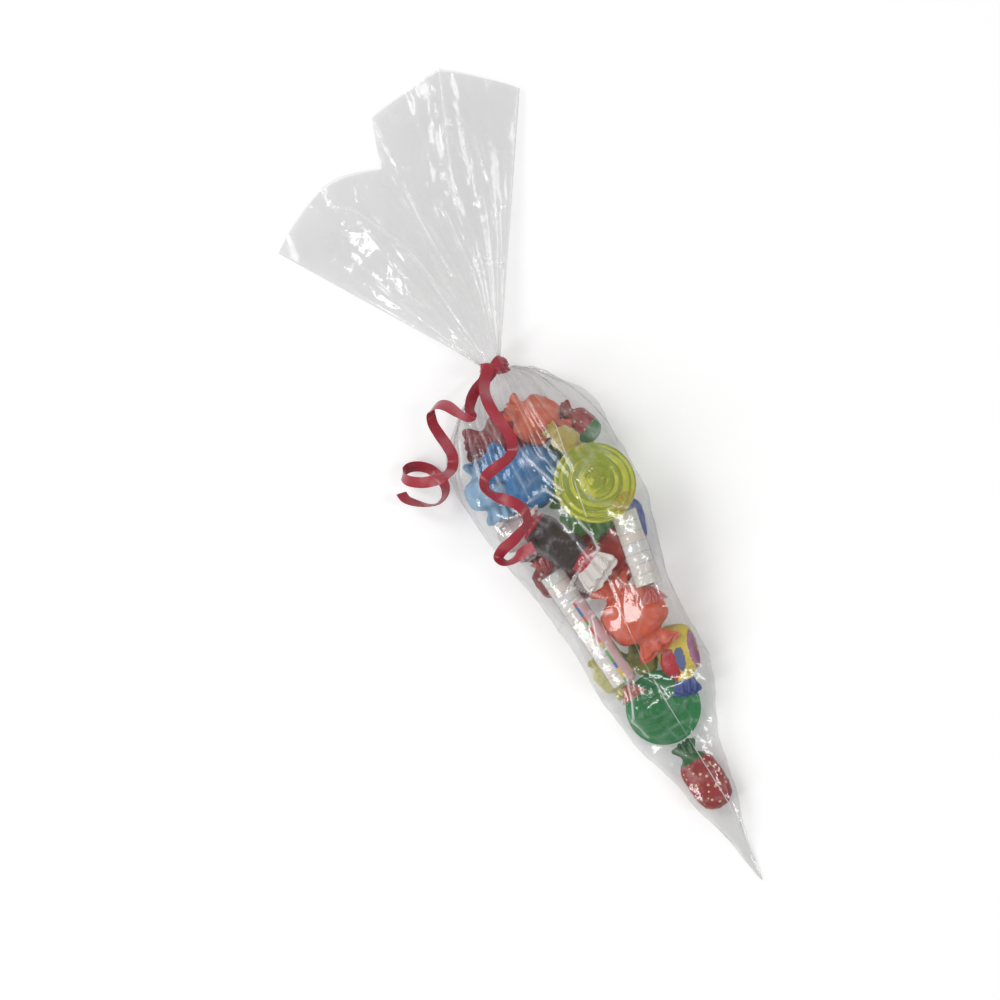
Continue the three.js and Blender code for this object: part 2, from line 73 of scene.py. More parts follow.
# The mouth as seen from the neck: share of the way round the layer, bearing from +X in degrees, distance
# from the neck and height.
UPPER_MOUTH = [
    (0, 123.7, 106, 5), (0.13, 113.8, 107, 19), (0.22, 106.4, 108, 26), (0.31, 101.2, 106, 26),
    (0.4, 96.9, 103, 21), (0.46, 91.8, 99.3, 13), (0.54, 88.6, 120.5, 17), (0.66, 80.6, 125, 13),
    (0.78, 73.1, 131, 17), (0.9, 65, 125.5, 9), (1, 57.8, 121.6, 4),
]
LOWER_MOUTH = [
    (0, 57.8, 121.6, 4), (0.1, 65, 125.5, 1.4), (0.22, 73.1, 131, 1), (0.34, 80.6, 125, 1),
    (0.46, 88.6, 120.5, 2), (0.54, 91.8, 99.3, 2.4), (0.6, 96.9, 103, 2), (0.69, 101.2, 106, 1),
    (0.78, 106.4, 108, 1), (0.87, 113.8, 107, 1.2), (1, 123.7, 106, 5),
]

# The ribbon tails' middle lines, from the tie to the free ends.
LEFT_TAIL = [
    (-3.2, 82, 18.5), (-6.2, 78.6, 19.6), (-10.6, 76.6, 21.8), (-14.8, 73.7, 25.4), (-17.6, 70.1, 29.2),
    (-18.2, 67.2, 31.4), (-20.2, 67.6, 30.8), (-23, 72, 26.6), (-25.4, 76, 21.8), (-28.6, 78.2, 17),
    (-32.3, 77.1, 13), (-34, 72.9, 12.4), (-33.8, 66.8, 16.4), (-33, 60.8, 23), (-33.2, 55.4, 28),
    (-35.6, 51.6, 27.4), (-39, 50.2, 23), (-42.8, 50.2, 19.2), (-47.1, 51.1, 16.8), (-51.1, 52.9, 14.4),
    (-55.2, 56.3, 10.6), (-55.6, 59.2, 6.8), (-52.1, 60.4, 4), (-47.9, 59, 2.8), (-44.4, 56, 2.8),
    (-42.6, 52.5, 3.2), (-41.8, 49.1, 4.8), (-42, 45.5, 7.4), (-44.1, 42.4, 10.6), (-48.1, 41.1, 12.8),
    (-52.2, 42.6, 13.2), (-56.2, 45.7, 11.8), (-59.2, 49.2, 9.4), (-59.7, 52.3, 7.6),
]
RIGHT_TAIL = [
    (-1.6, 82.4, 20.6), (-5.2, 79, 22.8), (-8, 75, 27.4), (-9.3, 69.4, 34.2), (-9.2, 63, 38.6),
    (-8.2, 56.8, 42), (-7.9, 51, 44.8), (-9.6, 46.4, 45.8), (-13.5, 44.1, 44.8), (-19.6, 43.1, 43.2),
    (-25, 41.6, 42), (-27.2, 37.9, 42.8), (-25.7, 33.8, 45.2), (-22.4, 29.8, 47.2), (-18.8, 25.8, 48.2),
    (-17, 21.3, 47.8), (-17.8, 17.4, 45.8), (-21.8, 14.7, 43.8), (-27.1, 12.6, 41), (-32.6, 11.2, 37.2),
    (-35.8, 9, 36), (-34.6, 6, 37.4), (-30.6, 5.2, 39.8), (-25.9, 6.2, 42.2), (-20.3, 6.6, 44.2),
]

# The two strands of the knot, over the tie.
KNOT = [
    [(4.9, 79.0, 15.4), (2.4, 79.4, 17.9), (-0.6, 80.6, 19.2), (-3.2, 82.2, 18.2), (-5.4, 83.0, 15.8)],
    [(5.2, 82.8, 15.4), (2.8, 82.6, 18.0), (0.2, 81.2, 19.4), (-2.6, 79.6, 18.8), (-5.0, 78.6, 17.0)],
]


def link(name: str, bm: bmesh.types.BMesh, smooth: bool = True) -> bpy.types.Object:
    """Turns a bmesh into a linked object at the origin.

    Args:
        name: The object's name.
        bm: The mesh, in metres, which is freed.
        smooth: Whether its faces are shaded smooth.

    Returns:
        The new object.
    """
    mesh = bpy.data.meshes.new(name)
    bm.to_mesh(mesh)
    bm.free()
    piece = bpy.data.objects.new(name, mesh)
    bpy.context.scene.collection.objects.link(piece)
    for face in mesh.polygons:
        face.use_smooth = smooth
    return piece


def baked(piece: bpy.types.Object) -> bpy.types.Object:
    """Applies a piece's modifiers to its mesh.

    Args:
        piece: An object with live modifiers.

    Returns:
        The same object, with none left.
    """
    graph = bpy.context.evaluated_depsgraph_get()
    mesh = bpy.data.meshes.new_from_object(piece.evaluated_get(graph))
    piece.modifiers.clear()
    piece.data = mesh
    for face in mesh.polygons:
        face.use_smooth = True
    return piece


def row_at(table: list[tuple], value: float) -> tuple[float, float, float]:
    """Reads a table at a value of its first column.

    Args:
        table: Rows in order of their first column.
        value: Where to read.

    Returns:
        The other columns, between the two rows beside the value.
    """
    first = [row[0] for row in table]
    return tuple(float(np.interp(value, first, [row[k] for row in table])) for k in (1, 2, 3))


def ridged(place: Vector, scale: float, seed: float) -> float:
    """Gives sharp-crested noise from 0 to 1, as crinkled film has.

    Args:
        place: A point in millimetres.
        scale: The size of a crinkle, in millimetres.
        seed: Shifts the pattern.

    Returns:
        The height of the crinkle.
    """
    return 1.0 - min(1.0, abs(noise.noise(place / scale + Vector((seed, seed * 0.7, -seed)))) * 2.2)


class Graph:
    """One material's nodes, with short ways to add and join them."""

    def __init__(self, name: str) -> None:
        """Starts an empty material with that name."""
        self.material = bpy.data.materials.new(name)
        self.material.use_nodes = True
        self.tree = self.material.node_tree
        self.tree.nodes.clear()
        self.output = self.tree.nodes.new("ShaderNodeOutputMaterial")

    def add(self, kind: str, inputs: dict | None = None, **settings: object) -> bpy.types.Node:
        """Adds a node.

        Args:
            kind: The node's type, without its ShaderNode prefix.
            inputs: Values or sockets for its inputs, by name or number.
            **settings: The node's own properties.

        Returns:
            The node.
        """
        node = self.tree.nodes.new("ShaderNode" + kind)
        for key, value in settings.items():
            setattr(node, key, value)
        for key, value in (inputs or {}).items():
            if isinstance(value, bpy.types.NodeSocket):
                self.tree.links.new(value, node.inputs[key])
            else:
                node.inputs[key].default_value = value
        return node

    def surface(self, socket: bpy.types.NodeSocket) -> bpy.types.Material:
        """Ends the material in a shader and returns it."""
        self.tree.links.new(socket, self.output.inputs["Surface"])
        return self.material

    def math(self, operation: str, *values: object) -> bpy.types.NodeSocket:
        """Returns the result of a Math node on numbers or sockets."""
        return self.add("Math", dict(enumerate(values)), operation=operation).outputs[0]

    def mix(self, factor: object, low: object, high: object) -> bpy.types.NodeSocket:
        """Returns a colour between two colours or sockets."""
        node = self.add("Mix", {0: factor, 6: low, 7: high}, data_type="RGBA")
        return node.outputs[2]

    def noise(
        self, coordinates: bpy.types.NodeSocket, scale: float, detail: float = 3.0
    ) -> bpy.types.NodeSocket:
        """Returns plain noise on the given coordinates."""
        return self.add("TexNoise", {"Vector": coordinates, "Scale": scale, "Detail": detail}).outputs[0]

    def cracks(self, coordinates: bpy.types.NodeSocket, scale: float) -> bpy.types.NodeSocket:
        """Returns the distance from the edges of irregular cells."""
        values = {"Vector": coordinates, "Scale": scale}
        return self.add("TexVoronoi", values, feature="DISTANCE_TO_EDGE").outputs[0]

    def place(self) -> bpy.types.NodeSocket:
        """Returns the piece's Object coordinates, in metres."""
        return self.add("TexCoord").outputs["Object"]

    def stored(self, name: str, output: str = "Vector") -> bpy.types.NodeSocket:
        """Returns one output of an attribute that is stored on the mesh."""
        return self.add("Attribute", attribute_name=name).outputs[output]

    def vector(self, operation: str, first: object, second: object) -> bpy.types.NodeSocket:
        """Returns the result of a Vector Math node on sockets or triples."""
        return self.add("VectorMath", {0: first, 1: second}, operation=operation).outputs[0]

    def principled(self, values: dict) -> bpy.types.NodeSocket:
        """Returns a Principled shader with those inputs."""
        return self.add("BsdfPrincipled", values).outputs[0]

    def clear(self, colour: object) -> bpy.types.NodeSocket:
        """Returns a see-through shader of that colour."""
        return self.add("BsdfTransparent", {"Color": colour}).outputs[0]

    def blend(self, factor: object, low: object, high: object) -> bpy.types.NodeSocket:
        """Returns a shader between two shaders."""
        return self.add("MixShader", {0: factor, 1: low, 2: high}).outputs[0]

    def glazed(
        self, clear: bpy.types.NodeSocket, normal: bpy.types.NodeSocket, roughness: float,
        face_gloss: float, edge_gloss: float, spread: float,
    ) -> bpy.types.NodeSocket:
        """Lays the gloss of clear film over a see-through shader.

        Args:
            clear: The see-through shader.
            normal: The film's bent normal.
            roughness: How blurred its highlights are.
            face_gloss: The share of gloss where the film faces the eye.
            edge_gloss: What is added to it where the film turns away, as on any clear sheet.
            spread: The blend of the Layer Weight node.

        Returns:
            The film's shader.
        """
        values = {"Color": rgba((1, 1, 1)), "Roughness": roughness, "Normal": normal}
        shine = self.add("BsdfGlossy", values).outputs[0]
        facing = self.add("LayerWeight", {"Blend": spread}).outputs["Facing"]
        edge = self.math("POWER", facing, 2.5)
        return self.blend(self.math("MULTIPLY_ADD", edge, edge_gloss, face_gloss), clear, shine)

    def bump(self, height: bpy.types.NodeSocket, strength: float, distance: float) -> bpy.types.NodeSocket:
        """Returns a normal bent by a height, with its distance in metres."""
        values = {"Height": height, "Strength": strength, "Distance": distance}
        return self.add("Bump", values).outputs[0]


def rgba(colour: Colour) -> tuple[float, float, float, float]:
    """Adds an alpha of 1 to a colour."""
    return (*colour, 1.0)


class Speckle(Enum):
    """What is strewn over a wrapper, by how many of its dots lie in a millimetre."""

    NONE = 0.0
    SEEDS = 0.42
    PRINT = 0.3


@dataclass(frozen=True)
class Zone:
    """A field of colour on a wrapper, an ellipsoid in the wrapper's own millimetres."""

    colour: Colour
    centre: Point
    radii: Point


@dataclass(frozen=True)
class WrapFinish:
    """Waxed or foil wrapping paper with fields of colour and fine crinkles."""

    name: str
    colour: Colour
    zones: tuple[Zone, ...] = ()
    speckle: Speckle = Speckle.NONE
    speckle_colour: Colour = (0.8, 0.7, 0.3)
    roughness: float = 0.34
    sheer: float = 0.0
    dot_reach: float = 0.24
    edge_shake: float = 2.2
    crinkle_scale: float = 420.0
    grain_scale: float = 900.0
    crinkle_depth: float = 0.00045

    def material(self) -> bpy.types.Material:
        """Builds the wrapper's material on its own local coordinates."""
        graph = Graph(self.name)
        local = graph.stored("local")
        place = graph.place()
        mottle = graph.noise(place, 160.0, 4.0)
        dark = tuple(c * 0.62 for c in self.colour)
        light = tuple(min(1.0, c * 1.22 + 0.01) for c in self.colour)
        colour = graph.mix(mottle, rgba(dark), rgba(light))
        if self.speckle is not Speckle.NONE:
            values = {"Vector": local, "Scale": self.speckle.value}
            cells = graph.add("TexVoronoi", values).outputs["Distance"]
            dots = graph.math("LESS_THAN", cells, self.dot_reach)
            colour = graph.mix(dots, colour, rgba(self.speckle_colour))
        wobble = graph.add("TexNoise", {"Vector": local, "Scale": 0.5, "Detail": 2.0}).outputs["Color"]
        shift = graph.vector("SUBTRACT", wobble, (0.5, 0.5, 0.5))
        shift = graph.vector("MULTIPLY", shift, (self.edge_shake,) * 3)
        shaken = graph.vector("ADD", local, shift)
        for zone in self.zones:
            scaled = graph.vector("DIVIDE", graph.vector("SUBTRACT", shaken, zone.centre), zone.radii)
            reach = graph.add("VectorMath", {0: scaled}, operation="LENGTH").outputs["Value"]
            colour = graph.mix(graph.math("LESS_THAN", reach, 1.0), colour, rgba(zone.colour))
        coarse = graph.math("MINIMUM", graph.cracks(place, self.crinkle_scale), 0.2)
        fine = graph.math("MULTIPLY", graph.noise(place, self.grain_scale, 5.0), 0.35)
        values = {
            "Base Color": colour,
            "Roughness": graph.math("MULTIPLY_ADD", mottle, 0.2, self.roughness - 0.1),
            "Normal": graph.bump(graph.math("ADD", coarse, fine), 0.75, self.crinkle_depth),
            "Coat Weight": 0.15,
            "Coat Roughness": 0.2,
            "Transmission Weight": self.sheer,
        }
        return graph.surface(graph.principled(values))


@dataclass(frozen=True)
class FilmFinish:
    """Clear crinkled film: mostly see-through, a little grey, with sharp highlights."""

    name: str
    tint: float = 0.905
    tint_spread: float = 0.02
    tip_tint: Colour = (0.86, 0.86, 0.85)
    tip_from: float = -80.0
    tip_share: float = 0.55
    crinkle: float = 0.75
    crinkle_depth: float = 0.0012
    # The white of the painted highlight laid along the film's creases.
    highlight_white: float = 0.93

    def material(self) -> bpy.types.Material:
        """Builds the film from a clear and a glossy shader, with a painted highlight along its creases: a
        milky white film there.
        """
        graph = Graph(self.name)
        place = graph.place()
        mapped = graph.add("Mapping", {"Vector": place, "Scale": (1.0, 0.55, 1.0)}).outputs[0]
        creases = graph.math("MINIMUM", graph.cracks(mapped, 85.0), 0.12)
        cloud = graph.noise(mapped, 75.0, 5.0)
        height = graph.math("ADD", creases, graph.math("MULTIPLY", cloud, 1.1))
        normal = graph.bump(height, self.crinkle, self.crinkle_depth)
        darker, lighter = self.tint - self.tint_spread, self.tint + self.tint_spread
        tint = graph.mix(cloud, rgba((darker,) * 3), rgba((lighter,) * 3))
        along = graph.add("SeparateXYZ", {"Vector": place}).outputs[1]
        ends = {0: along, 1: self.tip_from * MM, 2: TIP_Y * MM, 3: 0.0, 4: self.tip_share}
        to_tip = graph.add("MapRange", ends).outputs[0]
        clear = graph.clear(graph.mix(to_tip, tint, rgba(self.tip_tint)))
        film = graph.glazed(clear, normal, roughness=0.11, face_gloss=0.055, edge_gloss=0.34, spread=0.22)
        # Painted highlight: a whiter, milky film laid over the creases where their shine would be, broken up
        # by the cloud.
        highlight_film = graph.principled({"Base Color": rgba((self.highlight_white,) * 3), "Roughness": 0.25})
        broken = graph.math("MULTIPLY_ADD", cloud, 0.9, 0.1)
        painted_highlight = graph.math("MULTIPLY", graph.stored("crease_highlight", "Fac"), broken)
        return graph.surface(graph.blend(painted_highlight, film, highlight_film))


@dataclass(frozen=True)
class ClearPlasticFinish:
    """Moulded clear coloured plastic."""

    name: str
    colour: Colour
    rough: float = 0.06
    refraction: float = 1.49
    clearness: float = 0.78

    def material(self) -> bpy.types.Material:
        """Builds the plastic with a fine moulded waver."""
        graph = Graph(self.name)
        place = graph.place()
        waver = graph.noise(place, 220.0, 2.0)
        pale = tuple(min(1.0, c * 1.15 + 0.03) for c in self.colour)
        values = {
            "Base Color": graph.mix(waver, rgba(self.colour), rgba(pale)),
            "Roughness": self.rough,
            "IOR": self.refraction,
            "Transmission Weight": self.clearness,
            "Normal": graph.bump(waver, 0.25, 0.0004),
        }
        return graph.surface(graph.principled(values))


@dataclass(frozen=True)
class RibbonFinish:
    """Satin crimped curling ribbon, ribbed along its length."""

    name: str
    colour: Colour
    rib_pitch: float = 0.42

    def material(self) -> bpy.types.Material:
        """Builds the ribbon from its own across and along coordinates."""
        graph = Graph(self.name)
        local = graph.stored("local")
        place = graph.place()
        split = graph.add("SeparateXYZ", {"Vector": local})
        ribs = graph.math("SINE", graph.math("MULTIPLY", split.outputs[0], 2 * math.pi / self.rib_pitch))
        cloud = graph.noise(place, 140.0, 3.0)
        dark = tuple(c * 0.6 for c in self.colour)
        colour = graph.mix(cloud, rgba(dark), rgba(self.colour))
        values = {
            "Base Color": colour,
            "Roughness": graph.math("MULTIPLY_ADD", cloud, 0.16, 0.2),
            "Normal": graph.bump(ribs, 0.3, 0.00006),
            "Sheen Weight": 0.2,
            "Coat Weight": 0.5,
            "Coat Roughness": 0.2,
        }
        return graph.surface(graph.principled(values))


@dataclass(frozen=True)
class SugarFinish:
    """Pressed sugar tablets in pastel colours, one colour to a tablet."""

    name: str

    def material(self) -> bpy.types.Material:
        """Builds the chalky sugar from each tablet's own tint."""
        graph = Graph(self.name)
        tint = graph.stored("tint", "Color")
        place = graph.place()
        grain = graph.noise(place, 2600.0, 4.0)
        colour = graph.mix(graph.math("MULTIPLY", grain, 0.22), tint, rgba((0.98, 0.95, 0.9)))
        values = {
            "Base Color": colour,
            "Roughness": 0.82,
            "Normal": graph.bump(grain, 0.4, 0.00008),
            "Subsurface Weight": 0.08,
            "Subsurface Radius": (0.002, 0.0015, 0.001),
        }
        return graph.surface(graph.principled(values))


def dress(piece: bpy.types.Object, material: bpy.types.Material, slot: str, *replaced: str) -> None:
    """Gives a piece its material, and makes it ride and stand for CAD nodes.

    Args:
        piece: The finished piece.
        material: Its material.
        slot: The record's material slot; not used.
        *replaced: The CAD nodes that it stands for.
    """
    piece.data.materials.clear()
    piece.data.materials.append(material)
    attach(piece, BODY)
    if replaced:
        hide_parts(*replaced)
    LOG.info("%s: %d faces", piece.name, len(piece.data.polygons))


def store_vectors(mesh: bpy.types.Mesh, name: str, values: np.ndarray) -> None:
    """Stores one vector for each vertex of a mesh.

    Args:
        mesh: The mesh.
        name: The attribute's name.
        values: A row of three numbers for each vertex.
    """
    attribute = mesh.attributes.new(name, "FLOAT_VECTOR", "POINT")
    attribute.data.foreach_set("vector", np.asarray(values, np.float32).reshape(-1))


@dataclass
class LocalAxes:
    """The middle and axes of a CAD node: along, across and up."""

    middle: np.ndarray
    axes: np.ndarray

    @classmethod
    def of_node(cls, node: str) -> "LocalAxes":
        """Finds a node's long axis, and the upright one nearest to +Z.

        Args:
            node: The CAD node.

        Returns:
            Its axes, with the long one towards the neck.
        """
        points = np.array([v.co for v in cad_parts[node].data.vertices], float)
        middle = (points.min(0) + points.max(0)) / 2
        _, _, axes = np.linalg.svd(points - points.mean(0), full_matrices=False)
        along = axes[0] * (1.0 if axes[0][1] > 0 else -1.0)
        up = np.array((0.0, 0.0, 1.0)) - along * along[2]
        up = up / np.linalg.norm(up)
        across = np.cross(along, up)
        return cls(middle, np.array((along, across, up)))

    def to_local(self, points: np.ndarray) -> np.ndarray:
        """Returns points in the node's own millimetres."""
        return (points - self.middle) @ self.axes.T / MM

    def to_world(self, local: np.ndarray) -> np.ndarray:
        """Returns the node's own millimetres as points in metres."""
        return self.middle + (local * MM) @ self.axes


@dataclass
class WrappedSweet:
    """A sweet in a twisted wrapper, made finer from its CAD node."""

    node: str
    finish: WrapFinish
    slot: str
    crinkle: float
    crinkle_size: float
    pleats: int
    seed: float
    low_fan: float
    high_fan: float
    swell: float
    fan_swell: float
    barrel: tuple[float, float, float] | None = None
    hollow_share: float = 0.62
    fan_pleat: float = 0.7
    sink: float = 0.12

    def build(self) -> bpy.types.Object:
        """Makes the wrapper's mesh and dresses it."""
        axes = LocalAxes.of_node(self.node)
        bm = bmesh.new()
        bm.from_mesh(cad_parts[self.node].data)
        bmesh.ops.remove_doubles(bm, verts=bm.verts, dist=2e-5)
        bmesh.ops.join_triangles(
            bm, faces=bm.faces, angle_face_threshold=1.2, angle_shape_threshold=1.2, cmp_seam=False
        )
        self.hollow_fans(bm, axes)
        bmesh.ops.recalc_face_normals(bm, faces=bm.faces)
        piece = link(self.node + "_wrap", bm)
        smooth = piece.modifiers.new("smooth", "SUBSURF")
        smooth.levels = 3
        smooth.render_levels = 3
        baked(piece)
        self.crumple(piece, axes)
        dress(piece, self.finish.material(), self.slot, self.node)
        return piece

    def hollow_fans(self, bm: bmesh.types.BMesh, axes: LocalAxes) -> None:
        """Draws the middle of each fan's flat end in, so that the fan is a thin flare.

        Args:
            bm: The wrapper's mesh.
            axes: Its own axes.
        """
        verts = list(bm.verts)
        local = axes.to_local(np.array([v.co for v in verts], float))
        ends = ((local[:, 0].argmin(), self.low_fan), (local[:, 0].argmax(), -self.high_fan))
        for end, depth in ends:
            off_axis = np.hypot(local[:, 1], local[:, 2])
            elsewhere = abs(local[:, 0] - local[end, 0]) > 0.6
            pole = int((off_axis + 100.0 * elsewhere).argmin())
            if depth and off_axis[pole] < 2.0:
                moved = local[pole] + np.array((depth * self.hollow_share, 0.0, 0.0))
                verts[pole].co = Vector(axes.to_world(moved))

    def straightened(self, local: np.ndarray) -> np.ndarray:
        """Makes the wrapped body a barrel with straight sides.

        Args:
            local: The wrapper's points in its own millimetres.

        Returns:
            The points, moved sideways only.
        """
        low, high, half_width = self.barrel
        middle, half = (low + high) / 2, (high - low) / 2
        moved = local.copy()
        for k, (u, v, _) in enumerate(local):
            share = abs(u - middle) / half
            if share < 1.0:
                near = np.abs(local[:, 0] - u) < 0.5
                widest = max(float(np.abs(local[near, 1]).max()), 1.0)
                straight = half_width * (1 - share ** SQUARENESS) ** (1 / SQUARENESS)
                moved[k, 1] = v / widest * max(straight, widest * share ** SQUARENESS)
        return moved

    def crumple(self, piece: bpy.types.Object, axes: LocalAxes) -> None:
        """Adds crinkles over the wrapper and pleats in its fans.

        Args:
            piece: The smooth wrapper.
            axes: Its own axes.
        """
        mesh = piece.data
        world = np.array([v.co for v in mesh.vertices], float)
        normals = np.array([v.normal for v in mesh.vertices], float)
        local = axes.to_local(world)
        low = local[:, 0].min()
        high = local[:, 0].max()
        if self.barrel:
            world = axes.to_world(self.straightened(local))
        has_fans = max(self.low_fan, self.high_fan) > 0
        grown = self.swell - 1.0
        outward = np.clip(axes.middle[0] / MM / NEAR_WALL, -1.0, 1.0)
        inward = np.array((-outward * local[:, 1].max() * grown, 0.0, 0.0))
        for k, (point, normal) in enumerate(zip(local, normals)):
            here = Vector(point)
            rise = ridged(here, self.crinkle_size, self.seed) ** 2 - 0.35
            rise = (rise + noise.noise(here / 1.7) * 0.3) * self.crinkle
            past_low = low + self.low_fan + 1.5 - point[0]
            past_high = point[0] - (high - self.high_fan - 1.5)
            fan = min(max(past_low, past_high, 0.0) / 6.0, 1.0) if has_fans else 0.0
            angle = math.atan2(point[2] * 2.2, point[1])
            pleat = math.sin(self.pleats * angle + self.seed + 0.3 * point[0])
            rise = rise * (1 - 0.5 * fan) + fan * self.fan_pleat * pleat
            widen = grown * (1 - fan) + (self.fan_swell - 1.0) * fan
            sideways = axes.axes[0] * local[k, 0] * 0.4 * grown + axes.axes[1] * local[k, 1] * widen
            world[k] += (normal * (rise - self.sink) + sideways + inward) * MM
        mesh.vertices.foreach_set("co", world.astype(np.float32).reshape(-1))
        mesh.update()
        store_vectors(mesh, "local", local)


@dataclass
class SpinningTop:
    """A clear plastic top: a disc that steps up to its middle, with a foot below."""

    node: str
    finish: ClearPlasticFinish
    slot: str
    radius: float
    height: float
    pitch: float
    roll: float
    rings: int = 4
    steps: int = 96

    def profile(self) -> list[tuple[float, float]]:
        """Returns the half section, from the foot to the crown, as radius and height."""
        rim = self.height * 0.24
        foot = self.height * 0.26
        step = (self.height - rim - foot) / self.rings
        gap = self.radius / (self.rings + 0.5)
        points = [(0.0, -foot), (self.radius * 0.12, -foot), (self.radius * 0.15, -foot * 0.8)]
        points += [(self.radius * 0.28, 0.0), (self.radius * 0.95, 0.0), (self.radius, rim * 0.3)]
        points += [(self.radius, rim * 0.7), (self.radius * 0.96, rim)]
        for ring in range(self.rings, 0, -1):
            low = rim + step * (self.rings - ring)
            points += [(gap * (ring + 0.12), low), (gap * (ring - 0.04), low - step * 0.18)]
            points += [(gap * (ring - 0.16), low), (gap * (ring - 0.24), low + step * 0.86)]
            points += [(gap * (ring - 0.36), low + step)]
        points.append((0.0, rim + step * self.rings))
        middle = (foot - rim) / 2
        return [(r, z + middle) for r, z in points]

    def build(self) -> bpy.types.Object:
        """Spins the section and places it where the CAD node lies."""
        bm = bmesh.new()
        verts = [bm.verts.new((r * MM, 0.0, z * MM)) for r, z in self.profile()]
        edges = [bm.edges.new(pair) for pair in zip(verts, verts[1:])]
        bmesh.ops.spin(
            bm, geom=verts + edges, cent=(0, 0, 0), axis=(0, 0, 1), angle=2 * math.pi, steps=self.steps,
            use_merge=True,
        )
        bmesh.ops.remove_doubles(bm, verts=bm.verts, dist=1e-6)
        bmesh.ops.recalc_face_normals(bm, faces=bm.faces)
        pitched = Matrix.Rotation(math.radians(self.pitch), 4, "X")
        rolled = Matrix.Rotation(math.radians(self.roll), 4, "Y")
        bmesh.ops.transform(bm, matrix=pitched @ rolled, verts=bm.verts)
        low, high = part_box(self.node)
        points = np.array([v.co for v in bm.verts], float)
        shift = (low + high) / 2 - Vector((points.min(0) + points.max(0)) / 2)
        bmesh.ops.translate(bm, verts=bm.verts, vec=shift)
        piece = link(self.node + "_moulding", bm)
        dress(piece, self.finish.material(), self.slot, self.node)
        return piece


# The blocks of colour along the printed strip: where each begins in the drawn number, and its colour.
BLOCK_COLOURS = (
    (0.0, (0.75, 0.1, 0.08)), (0.25, (0.8, 0.6, 0.1)), (0.5, (0.15, 0.4, 0.12)), (0.72, (0.08, 0.2, 0.5)),
)


